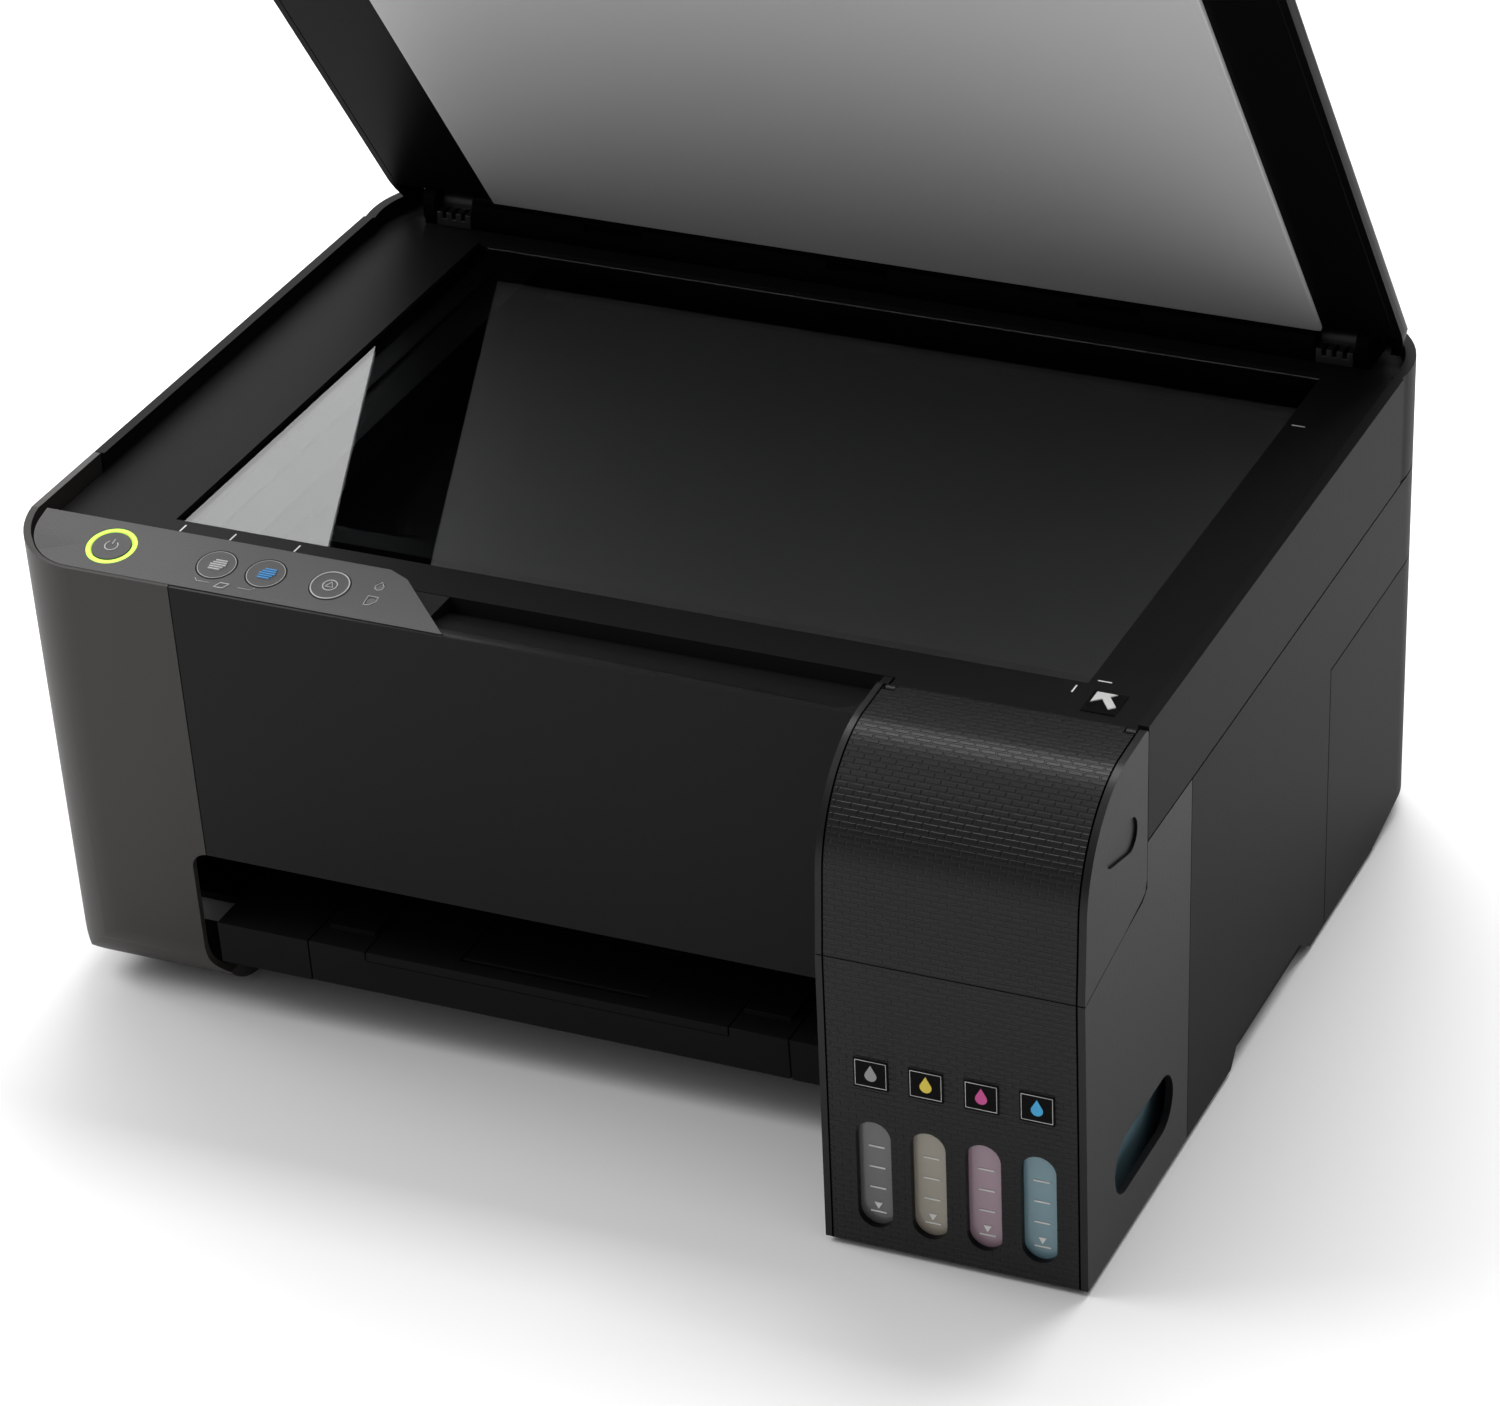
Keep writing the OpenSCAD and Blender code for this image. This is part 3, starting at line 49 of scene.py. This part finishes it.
def add(material, kind, settings=None, **links):
    """Adds a shader node; each link or value is given by its socket's name, or by i and its number."""
    made = material.node_tree.nodes.new(kind)
    for key, value in (settings or {}).items():
        setattr(made, key, value)
    for key, value in links.items():
        numbered = key[0] == "i" and key[1:].isdigit()
        socket = made.inputs[int(key[1:]) if numbered else key.replace("_", " ")]
        if isinstance(value, bpy.types.NodeSocket):
            material.node_tree.links.new(value, socket)
        else:
            socket.default_value = value
    return made


def plastic(name, hex_colour, rough, grain=0.25, scale=1500, **extra):
    """A plastic with a fine grain: scale is the number of grains a metre."""
    material = bpy.data.materials.new(name)
    material.use_nodes = True
    shader = material.node_tree.nodes["Principled BSDF"]
    shader.inputs["Base Color"].default_value = linear(hex_colour)
    shader.inputs["Roughness"].default_value = rough
    shader.inputs["IOR"].default_value = 1.53
    for key, value in extra.items():
        shader.inputs[key.replace("_", " ")].default_value = value
    if grain:
        place = add(material, "ShaderNodeTexCoord")
        noise = add(material, "ShaderNodeTexNoise", Vector=place.outputs["Object"], Scale=scale, Detail=2.0)
        bump = add(material, "ShaderNodeBump", Height=noise.outputs["Fac"], Strength=grain, Distance=0.0002)
        material.node_tree.links.new(bump.outputs["Normal"], shader.inputs["Normal"])
    return material


def activate(thing):
    bpy.ops.object.select_all(action="DESELECT")
    thing.select_set(True)
    bpy.context.view_layer.objects.active = thing


def moulding(node, body, material, width, wide=0.0, where=None, segments=3):
    """A merged copy of a CAD node with rounded edges; where picks the edges that get the wide round."""
    source = nodes[node]
    copy = bpy.data.objects.new(node + "_moulding", source.data.copy())
    bpy.context.collection.objects.link(copy)
    activate(copy)
    bpy.ops.object.mode_set(mode="EDIT")
    bpy.ops.mesh.select_all(action="SELECT")
    bpy.ops.mesh.remove_doubles(threshold=0.000005)
    bpy.ops.mesh.dissolve_limited(angle_limit=math.radians(0.4))
    bpy.ops.object.mode_set(mode="OBJECT")
    mesh = copy.data
    mesh.materials.clear()
    mesh.materials.append(material)
    faces = {}
    for face in mesh.polygons:
        for key in face.edge_keys:
            faces.setdefault(key, []).append(face.normal.copy())
    weights = mesh.attributes.new("bevel_weight_edge", "FLOAT", "EDGE")
    largest = max(width, wide)
    for edge in mesh.edges:
        normals = faces.get(edge.key, [])
        if len(normals) == 2 and normals[0].angle(normals[1], 0) > math.radians(28):
            a, b = (mesh.vertices[i].co * 1000 for i in edge.vertices)
            picked = where is not None and where((a + b) / 2, a, b)
            weights.data[edge.index].value = (wide if picked else width) / largest
    bevel = copy.modifiers.new("rounded edges", "BEVEL")
    bevel.limit_method = "WEIGHT"
    bevel.width = largest * MM
    bevel.segments = segments
    bevel.use_clamp_overlap = True
    bevel.harden_normals = False
    activate(copy)
    bpy.ops.object.shade_smooth_by_angle(angle=math.radians(32))
    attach(copy, body)
    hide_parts(node)
    return copy


grey_abs = plastic("warm grey textured ABS", "3A3836", 0.46, IOR=1.3)
black_abs = plastic("black textured ABS", "161617", 0.48, IOR=1.12)
moulding("left_cover", "base", grey_abs, 0.35, 1.2, lambda m, a, b: m.z > 159 and m.y < -100)
moulding("right_cover", "base", black_abs, 0.4)
moulding("right_rear_cover", "base", black_abs, 0.4)
moulding("rear_cover", "base", black_abs, 0.3)
moulding("lower_housing", "base", black_abs, 0.5)

# Front cover: one leaning ABS moulding over the paper slot, darker and smoother than the sides.
# Its top has the finger recess for lifting the lid. It clips to the housing.
front_abs = plastic("black satin ABS", "141415", 0.4, IOR=1.2)
moulding("front_cover", "base", front_abs, 0.4, 1.4, lambda m, a, b: m.z > 161 and m.y < -130)

# Control panel: a grey plate let into the top of the front left corner. The buttons are
# polycarbonate caps with printed symbols; a clear ring round the power button glows green.
panel_abs = plastic("grey textured panel", "4A4949", 0.42, IOR=1.35)
moulding("control_panel", "base", panel_abs, 0.3, 0.5, lambda m, a, b: m.y < -128)
glow = plastic("glowing light guide", "A8D050", 0.4, grain=0)
glow.node_tree.nodes["Principled BSDF"].inputs["Emission Color"].default_value = linear("A4DC28")
glow_place = add(glow, "ShaderNodeTexCoord")
glow_split = add(glow, "ShaderNodeSeparateXYZ", Vector=glow_place.outputs["Object"])
lit = add(glow, "ShaderNodeMath", {"operation": "LESS_THAN"}, i0=glow_split.outputs["X"], i1=-0.1)
lit_strength = add(glow, "ShaderNodeMath", {"operation": "MULTIPLY"}, i0=lit.outputs[0], i1=1.1)
lit_colour = add(glow, "ShaderNodeMix", {"data_type": "RGBA"}, i0=lit.outputs[0],
                 i6=linear("4A4A4A"), i7=linear("A8D050"))
glow_shader = glow.node_tree.nodes["Principled BSDF"]
glow.node_tree.links.new(lit_strength.outputs[0], glow_shader.inputs["Emission Strength"])
glow.node_tree.links.new(lit_colour.outputs[2], glow_shader.inputs["Base Color"])
nodes["panel_lights"].data.materials.clear()
nodes["panel_lights"].data.materials.append(glow)
white_print = plastic("pale grey print", "B9B9B8", 0.5, grain=0)
blue_print = plastic("blue print", "3E92CE", 0.5, grain=0)

tilt = math.radians(14)
rim_top = 168.5
panel_front_y = -131.5
panel_run = 23
panel_front_z = rim_top - panel_run * math.tan(tilt)
panel_at = Matrix.Translation((0, panel_front_y, panel_front_z)) @ Matrix.Rotation(tilt, 4, "X")


def stroke(name, points, width, material, body, closed=False, at=panel_at):
    """A printed line: points are millimetres across and up the face that at places."""
    curve = bpy.data.curves.new(name, "CURVE")
    curve.dimensions = "3D"
    curve.bevel_depth = width / 2 * MM
    curve.bevel_resolution = 2
    spline = curve.splines.new("POLY")
    spline.points.add(len(points) - 1)
    spline.use_cyclic_u = closed
    for point, (x, y) in zip(spline.points, points):
        point.co = (*(at @ Vector((x, y, 0.05)) * MM), 1)
    line = bpy.data.objects.new(name, curve)
    bpy.context.collection.objects.link(line)
    activate(line)
    bpy.ops.object.convert(target="MESH")
    line.data.materials.clear()
    line.data.materials.append(material)
    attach(line, body)
    return line


def printed_shape(name, points, material, body, at):
    """A filled printed shape, a twentieth of a millimetre thick."""
    curve = bpy.data.curves.new(name, "CURVE")
    curve.dimensions = "2D"
    curve.fill_mode = "BOTH"
    curve.extrude = 0.00003
    spline = curve.splines.new("POLY")
    spline.points.add(len(points) - 1)
    spline.use_cyclic_u = True
    for point, (x, y) in zip(spline.points, points):
        point.co = (x * MM, y * MM, 0.00004, 1)
    shape = bpy.data.objects.new(name, curve)
    bpy.context.collection.objects.link(shape)
    activate(shape)
    bpy.ops.object.convert(target="MESH")
    turn = at.copy()
    turn.translation = turn.translation * MM
    shape.data.transform(turn)
    shape.data.materials.clear()
    shape.data.materials.append(material)
    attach(shape, body)
    return shape


def circle(x, y, r, start=0, end=360, count=48):
    return [(x + r * math.cos(math.radians(start + (end - start) * i / count)),
             y + r * math.sin(math.radians(start + (end - start) * i / count))) for i in range(count)]


power_x, mono_x, colour_x, stop_x = -153.8, -117.0, -100.0, -78.0
button_y = 12.1
for name in ("power_button", "mono_copy_button", "colour_copy_button", "stop_button"):
    moulding(name, name, panel_abs, 0.25)
stroke("power_symbol_ring", circle(power_x, button_y, 2.1, 125, 415), 0.45, white_print, "power_button")
power_bar = [(power_x, button_y + 0.6), (power_x, button_y + 3)]
stroke("power_symbol_bar", power_bar, 0.45, white_print, "power_button")
for name, x, thick in (("mono_copy_button", mono_x, 0.22), ("colour_copy_button", colour_x, 0.22),
                       ("stop_button", stop_x, 0.5)):
    stroke(name + "_ring", circle(x, button_y, 6.1), thick, white_print, name, closed=True)
for name, x, material in (("mono_copy_button", mono_x, white_print),
                          ("colour_copy_button", colour_x, blue_print)):
    for row in range(5):
        half = 2.7 - 0.35 * abs(row - 2)
        y = button_y - 2 + row * 1.0
        sheet_line = [(x - half + row * 0.25, y), (x + half + row * 0.25, y)]
        stroke(f"{name}_sheet_{row}", sheet_line, 0.72, material, name)
stroke("stop_symbol_ring", circle(stop_x, button_y, 2.3), 0.4, white_print, "stop_button", closed=True)
stroke("stop_symbol", circle(stop_x, button_y, 1.5, 90, 450, 3), 0.4, white_print, "stop_button", closed=True)
ink_outline = [(-62.5, 17.3), (-61.1, 15.6), (-61.3, 14.2), (-62.5, 13.6), (-63.7, 14.2), (-63.9, 15.6)]
stroke("ink_symbol", ink_outline, 0.28, white_print, "base", True)
sheet_outline = [(-64.2, 10.6), (-60.8, 10.6), (-60.8, 8.4), (-62.4, 6.6), (-64.2, 6.6)]
stroke("paper_symbol", sheet_outline, 0.28, white_print, "base", True)
stroke("copy_bracket_left", [(-121, 4.9), (-120, 3.8), (-115.6, 3.8)], 0.22, white_print, "base")
stroke("copy_bracket_right", [(-105.8, 3.8), (-101.4, 3.8), (-100.4, 4.9)], 0.22, white_print, "base")
copy_sheet = [(-113.4, 2.4), (-110.4, 2.4), (-109, 4.6), (-112, 4.6)]
stroke("copy_bracket_sheet", copy_sheet, 0.5, white_print, "base", True)

# Ink tower: a satin ABS housing and a hinged cover whose front and top carry a moulded relief
# of staggered short bars between smooth edge strips. Behind the windows stand four clear tanks.
strip_left, strip_right = 0.1062, 0.1848
tower_front_y, tower_lean, tower_seam_z = -173.5, 4.2, 103.7
first_tank_x, tank_pitch = 119.9, 17.47


def tower_face(z, depth):
    """Y of the leaning tower front at height z, depth behind its skin."""
    return tower_front_y + tower_lean * (tower_seam_z - z) / tower_seam_z + depth


relief = plastic("black ABS with staggered relief", "141415", 0.34, grain=0, IOR=1.34)
sweep = add(relief, "ShaderNodeUVMap", {"uv_map": "sweep"})
bars = add(relief, "ShaderNodeTexBrick", {"offset": 0.5, "squash": 1.0}, Vector=sweep.outputs["UV"],
           Scale=1.0, Brick_Width=0.005, Row_Height=0.0019, Mortar_Size=0.0004, Mortar_Smooth=0.6, Bias=0.0)
split = add(relief, "ShaderNodeSeparateXYZ", Vector=sweep.outputs["UV"])
left_strip = add(relief, "ShaderNodeMapRange", {"clamp": True}, i0=split.outputs["X"],
                 i1=strip_left, i2=strip_left + 0.0002, i3=0.0, i4=1.0)
right_strip = add(relief, "ShaderNodeMapRange", {"clamp": True}, i0=split.outputs["X"],
                  i1=strip_right, i2=strip_right - 0.0002, i3=0.0, i4=1.0)
strips = add(relief, "ShaderNodeMath", {"operation": "MULTIPLY"}, i0=left_strip.outputs[0],
             i1=right_strip.outputs[0])
height = add(relief, "ShaderNodeMath", {"operation": "MULTIPLY"}, i0=bars.outputs["Fac"],
             i1=strips.outputs[0])
relief_bump = add(relief, "ShaderNodeBump", {"invert": True}, Height=height.outputs[0], Strength=1.0,
                  Distance=0.0006)
# Painted shade: along the grooves beside the edge strips the colour darkens to near black and the specular
# sheen drops to nothing, standing in for the shade inside grooves that are not modelled.
groove_left = add(relief, "ShaderNodeMath", {"operation": "COMPARE"}, i0=split.outputs["X"],
                  i1=strip_left - 0.0005, i2=0.0003)
groove_right = add(relief, "ShaderNodeMath", {"operation": "COMPARE"}, i0=split.outputs["X"],
                   i1=strip_right + 0.0001, i2=0.0003)
groove = add(relief, "ShaderNodeMath", {"operation": "MAXIMUM"}, i0=groove_left.outputs[0],
             i1=groove_right.outputs[0])
painted_groove_shade = add(relief, "ShaderNodeMix", {"data_type": "RGBA"}, i0=groove.outputs[0],
                   i6=linear("101011"), i7=linear("010101"))
groove_sheen_cut_by_shade = add(relief, "ShaderNodeMapRange", i0=groove.outputs[0], i1=0.0, i2=1.0, i3=0.5, i4=0.0)
relief_shader = relief.node_tree.nodes["Principled BSDF"]
relief.node_tree.links.new(painted_groove_shade.outputs[2], relief_shader.inputs["Base Color"])
relief.node_tree.links.new(groove_sheen_cut_by_shade.outputs[0], relief_shader.inputs["Specular IOR Level"])
relief.node_tree.links.new(relief_bump.outputs["Normal"], relief_shader.inputs["Normal"])

bend_r = 37.8
top_slope = math.radians(8)
bend_y = tower_front_y + 2.1 * 0.5 + bend_r
bend_z = (168.2 - (-122.7 - bend_y) * math.tan(top_slope) - bend_r * math.cos(top_slope)
          + bend_r * math.sin(top_slope) * math.tan(top_slope))


def along_sweep(y, z):
    """Length in mm along the cover's outside, from the bend's end down the front or back over the top."""
    if z <= bend_z:
        return z
    angle = math.degrees(math.atan2(z - bend_z, bend_y - y))
    if y <= bend_y:
        return bend_z + math.radians(max(angle, 0)) * bend_r
    return bend_z + math.radians(90) * bend_r + (y - bend_y)


def relief_faces(piece):
    """Gives the front and top the relief, with a map that follows the sweep."""
    mesh = piece.data
    mesh.materials.append(relief)
    chart = mesh.uv_layers.new(name="sweep")
    for face in mesh.polygons:
        for index in face.loop_indices:
            x, y, z = mesh.vertices[mesh.loops[index].vertex_index].co * 1000
            chart.data[index].uv = (x * MM, along_sweep(y, z) * MM)
        n = face.normal
        outside = n.y < -0.3 and face.center.y * 1000 < -160 or n.z > 0.4 and face.center.z * 1000 > 140
        if abs(n.x) < 0.3 and outside and (n.y < -0.9 or face.center.z * 1000 > bend_z - 1):
            face.material_index = 1


def tower_edges(m, a, b):
    return m.x > 187.2 and (m.y < -160 or m.z > 120 and m.y < -121.5) and abs(a.x - b.x) < 0.1


def cover_edges(m, a, b):
    return tower_edges(m, a, b) and m.z > 103.95


def housing_edges(m, a, b):
    return m.x > 187.2 and m.y < -168 and abs(a.z - b.z) > 20


cover = moulding("tank_cover", "tank_cover", front_abs, 0.35, 2.2, cover_edges)
relief_faces(cover)
housing = moulding("tank_housing", "base", front_abs, 0.35, 2.2, housing_edges)
relief_faces(housing)


def ink(name, hex_colour, rough=0.25):
    return plastic(name, hex_colour, rough, grain=0, Coat_Weight=0.6, Coat_Roughness=0.08)


tanks = {"ink_tank_black": ("tank with black ink, empty end", "666564", "clear_black"),
         "ink_tank_yellow": ("tank of yellow ink", "9F988A", "clear_yellow"),
         "ink_tank_magenta": ("tank of magenta ink", "A38996", "clear_magenta"),
         "ink_tank_cyan": ("tank of cyan ink", "7595A0", "clear_cyan")}
mark_print = plastic("pale level print", "D9D9D6", 0.5, grain=0)
tag_gloss = plastic("gloss black tag", "0B0B0C", 0.25, grain=0, IOR=1.12)
print_depth = 2.62
bar_size = (5.2 * MM, 0.3 * MM, 0.55 * MM, 1)
for number, (node, (name, hex_colour, slot_name)) in enumerate(tanks.items()):
    nodes[node].data.materials.clear()
    nodes[node].data.materials.append(ink(name, hex_colour))
    x = first_tank_x + tank_pitch * number
    for level in (37, 29.5, 22, 13.2):
        bpy.ops.object.select_all(action="DESELECT")
        bpy.ops.mesh.primitive_cube_add(size=1)
        bar = bpy.context.object
        bar.name = f"level_{number}_{level}"
        bar_place = (x * MM, tower_face(level, print_depth) * MM, level * MM)
        bar.data.transform(Matrix.Translation(bar_place) @ Matrix.Diagonal(bar_size))
        bar.data.materials.append(mark_print)
        activate(bar)
        bevel = bar.modifiers.new("soft print edge", "BEVEL")
        bevel.width = 0.0001
        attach(bar, "base")
    bpy.ops.object.select_all(action="DESELECT")
    bpy.ops.mesh.primitive_cylinder_add(vertices=3, radius=1.5 * MM, depth=0.3 * MM)
    arrow = bpy.context.object
    arrow.name = f"lower_mark_{number}"
    arrow_turn = Matrix.Rotation(math.pi / 2, 4, "X") @ Matrix.Rotation(math.pi, 4, "Z")
    arrow_place = (x * MM, tower_face(16, print_depth) * MM, 15.8 * MM)
    arrow.data.transform(Matrix.Translation(arrow_place) @ arrow_turn)
    arrow.data.materials.append(mark_print)
    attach(arrow, "base")
nodes["colour_tags"].data.materials.clear()
nodes["colour_tags"].data.materials.append(tag_gloss)
# Each tag carries a drop in the colour of its ink and a thin printed frame
tag_z = 65
tag_turn = Matrix.Rotation(math.radians(90 + 2.3), 4, "X")
tag_corners = [(-4.9, -4.5), (4.9, -4.5), (4.9, 4.4), (-4.9, 4.4)]
drop_outline = [(0, 3.1)] + circle(0, -0.7, 1.9, 35, -215, 24)
for number, drop_colour in enumerate(("8E8E8E", "D8C23A", "C2408A", "2FA3D6")):
    tag_x = first_tank_x + tank_pitch * number
    tag_at = Matrix.Translation((tag_x, tower_face(tag_z, -0.4), tag_z)) @ tag_turn
    drop_print = plastic(f"drop print {number}", drop_colour, 0.4, grain=0)
    printed_shape(f"ink_drop_{number}", drop_outline, drop_print, "base", tag_at)
    stroke(f"tag_frame_{number}", tag_corners, 0.22, mark_print, "base", True, tag_at)
cap_rubber = plastic("dark cap rubber", "1A1A1B", 0.6)
for colour in ("black", "yellow", "magenta", "cyan"):
    moulding("tank_cap_" + colour, "tank_cap_" + colour, cap_rubber, 0.3)

# Scanner unit: a black frame with a raised rim round a sheet of float glass. Under the glass
# lie the pan with its toothed rack and the image bar.


def outer_rim(m, a, b):
    return m.z > 168.3 and (abs(m.x) > 187.2 or m.y > 166 and (abs(m.x) > 150 or m.y > 173.2))


moulding("scanner_frame", "scanner_unit", black_abs, 0.3, 1.6, outer_rim)
glass = bpy.data.materials.new("float glass, dark below")
glass.use_nodes = True
glass_shader = glass.node_tree.nodes["Principled BSDF"]
glass_shader.inputs["Base Color"].default_value = linear("B4B8B8")
glass_shader.inputs["Roughness"].default_value = 0.01
glass_shader.inputs["IOR"].default_value = 1.52
glass_shader.inputs["Transmission Weight"].default_value = 1.0
nodes["scanner_glass"].data.materials.clear()
nodes["scanner_glass"].data.materials.append(glass)
pan_abs = plastic("dark pan plastic", "0E0E0E", 0.5)
for name in ("scanner_pan", "scan_bar"):
    nodes[name].data.materials.clear()
    nodes[name].data.materials.append(pan_abs)
plate = moulding("origin_plate", "scanner_unit", tag_gloss, 0.15)
plate.data.materials.append(plastic("silver print", "C9C9C7", 0.3, grain=0))
for face in plate.data.polygons:
    if face.center.z > 0.16285:
        face.material_index = 1
# Printed marks for the paper sizes along two edges of the glass
deck_at = Matrix.Translation((0, 0, 162.5))
for x in (-141.5, -123.9, -101.5, 155.5):
    tick = [(x - 0.25, -98.2), (x + 0.25, -98.2), (x + 0.25, -93.8), (x - 0.25, -93.8)]
    printed_shape(f"size_mark_{x}", tick, mark_print, "scanner_unit", deck_at)
for y in (93.1, -88.9):
    tick = [(160.4, y - 0.25), (164.8, y - 0.25), (164.8, y + 0.25), (160.4, y + 0.25)]
    printed_shape(f"side_mark_{y}", tick, mark_print, "scanner_unit", deck_at)
hinge_abs = plastic("black hinge plastic", "1B1B1C", 0.4)
moulding("lid_hinge_posts", "scanner_unit", hinge_abs, 0.25)

# Document lid: a gloss black ABS shell around a flat inner panel, with the pale foam pad
# stuck on it. Its rounded heel turns between two toothed hinge posts.
lid_abs = plastic("black lid ABS", "0A0A0B", 0.36, IOR=1.07)
moulding("document_lid", "document_lid", lid_abs, 0.4)
moulding("lid_liner", "document_lid", lid_abs, 0.3)
pad_foam = plastic("pale grey pad film", "C6C6C7", 0.5, grain=0.1)
moulding("document_pad", "document_lid", pad_foam, 0.5)

# Trays and the paper support: black ABS mouldings that slide and fold.
for name in ("output_tray", "tray_extension", "paper_stopper", "paper_support"):
    moulding(name, name, black_abs, 0.4)
for name in ("edge_guide_left", "edge_guide_right"):
    moulding(name, name, hinge_abs, 0.3)

# Print engine inside: zinc plated sheet, turned shafts, rubber rollers and moulded parts.
steel = bpy.data.materials.new("zinc plated steel")
steel.use_nodes = True
steel_shader = steel.node_tree.nodes["Principled BSDF"]
steel_shader.inputs["Base Color"].default_value = linear("B8BABD")
steel_shader.inputs["Metallic"].default_value = 1.0
steel_shader.inputs["Roughness"].default_value = 0.35
brass = bpy.data.materials.new("turned brass")
brass.use_nodes = True
brass_shader = brass.node_tree.nodes["Principled BSDF"]
brass_shader.inputs["Base Color"].default_value = linear("C9A45A")
brass_shader.inputs["Metallic"].default_value = 1.0
brass_shader.inputs["Roughness"].default_value = 0.3
rubber = plastic("black rubber", "161616", 0.7)
board = plastic("green circuit board", "14522E", 0.3, grain=0)
tube = plastic("clear ink tube", "C8C8C2", 0.3, grain=0)
ivory = plastic("ivory acetal", "D8D3C4", 0.4)
inside = {"print_frame": steel, "feed_motor": steel, "carriage_motor": steel, "scanner_hinge_brackets": steel,
          "housing_screws": steel, "scanner_hinge_pins": steel, "drive_pulley": brass, "rubber_feet": rubber,
          "carriage_belt": rubber, "feed_roller": rubber, "eject_roller": rubber, "pickup_roller": rubber,
          "main_board": board, "ink_tubes": tube, "motor_pinion": ivory}
for name in ("platen", "star_wheel_bar", "cap_station", "power_supply", "power_inlet", "idler_pulley",
             "print_carriage"):
    inside[name] = hinge_abs
for name, material in inside.items():
    nodes[name].data.materials.clear()
    nodes[name].data.materials.append(material)

# Studio: a pale floor that runs out to white, and soft lights from the upper left, from above
# and behind, and from the back left, as in a catalogue picture.
bpy.ops.object.select_all(action="DESELECT")
bpy.ops.mesh.primitive_plane_add(size=14)
floor = bpy.context.object
floor.name = "floor"
floor_paint = plastic("white studio floor", "F4F4F4", 0.6, grain=0)
floor.data.materials.append(floor_paint)
world = bpy.data.worlds.new("studio")
bpy.context.scene.world = world
world.use_nodes = True
# The room is brightest behind and above the left, and dim towards the lower right
background = world.node_tree.nodes["Background"]
background.inputs["Color"].default_value = (1, 1, 1, 1)
room = add(world, "ShaderNodeTexCoord")
towards = add(world, "ShaderNodeVectorMath", {"operation": "DOT_PRODUCT"}, i0=room.outputs["Generated"],
              i1=(-0.62, 0.42, 0.66))
fade = add(world, "ShaderNodeMapRange", {"clamp": True}, i0=towards.outputs["Value"],
           i1=-0.4, i2=0.95, i3=0.15, i4=0.9)
world.node_tree.links.new(fade.outputs[0], background.inputs["Strength"])


def soft_light(name, place, aim, size, power):
    lamp = bpy.data.lights.new(name, "AREA")
    lamp.shape = "RECTANGLE"
    lamp.size, lamp.size_y = size
    lamp.energy = power
    holder = bpy.data.objects.new(name, lamp)
    bpy.context.collection.objects.link(holder)
    holder.location = place
    holder.rotation_euler = (Vector(aim) - Vector(place)).to_track_quat("-Z", "Y").to_euler()


soft_light("key", (-1.7, -0.5, 1.9), (0, 0, 0.1), (1.6, 1.2), 24)
soft_light("top", (0.0, 1.2, 2.3), (0, 0, 0.1), (2.0, 1.2), 58)
soft_light("back_left", (-1.6, 2.4, 1.5), (0, 0, 0.1), (2.4, 1.6), 20)

camera = bpy.data.cameras.new("camera")
camera.lens = 139.97
camera.sensor_width = 36
camera.clip_end = 50
holder = bpy.data.objects.new("camera", camera)
bpy.context.collection.objects.link(holder)
right = Vector((0.92072, 0.38953, -0.02312))
down = Vector((0.17006, -0.45386, -0.87469))
ahead = Vector((-0.35121, 0.80142, -0.48412))
turn = Matrix((right, -down, -ahead)).transposed().to_4x4()
holder.matrix_world = Matrix.Translation((0.6732, -1.5162, 0.9952)) @ turn
bpy.context.scene.camera = holder
bpy.context.scene.view_settings.view_transform = "Standard"
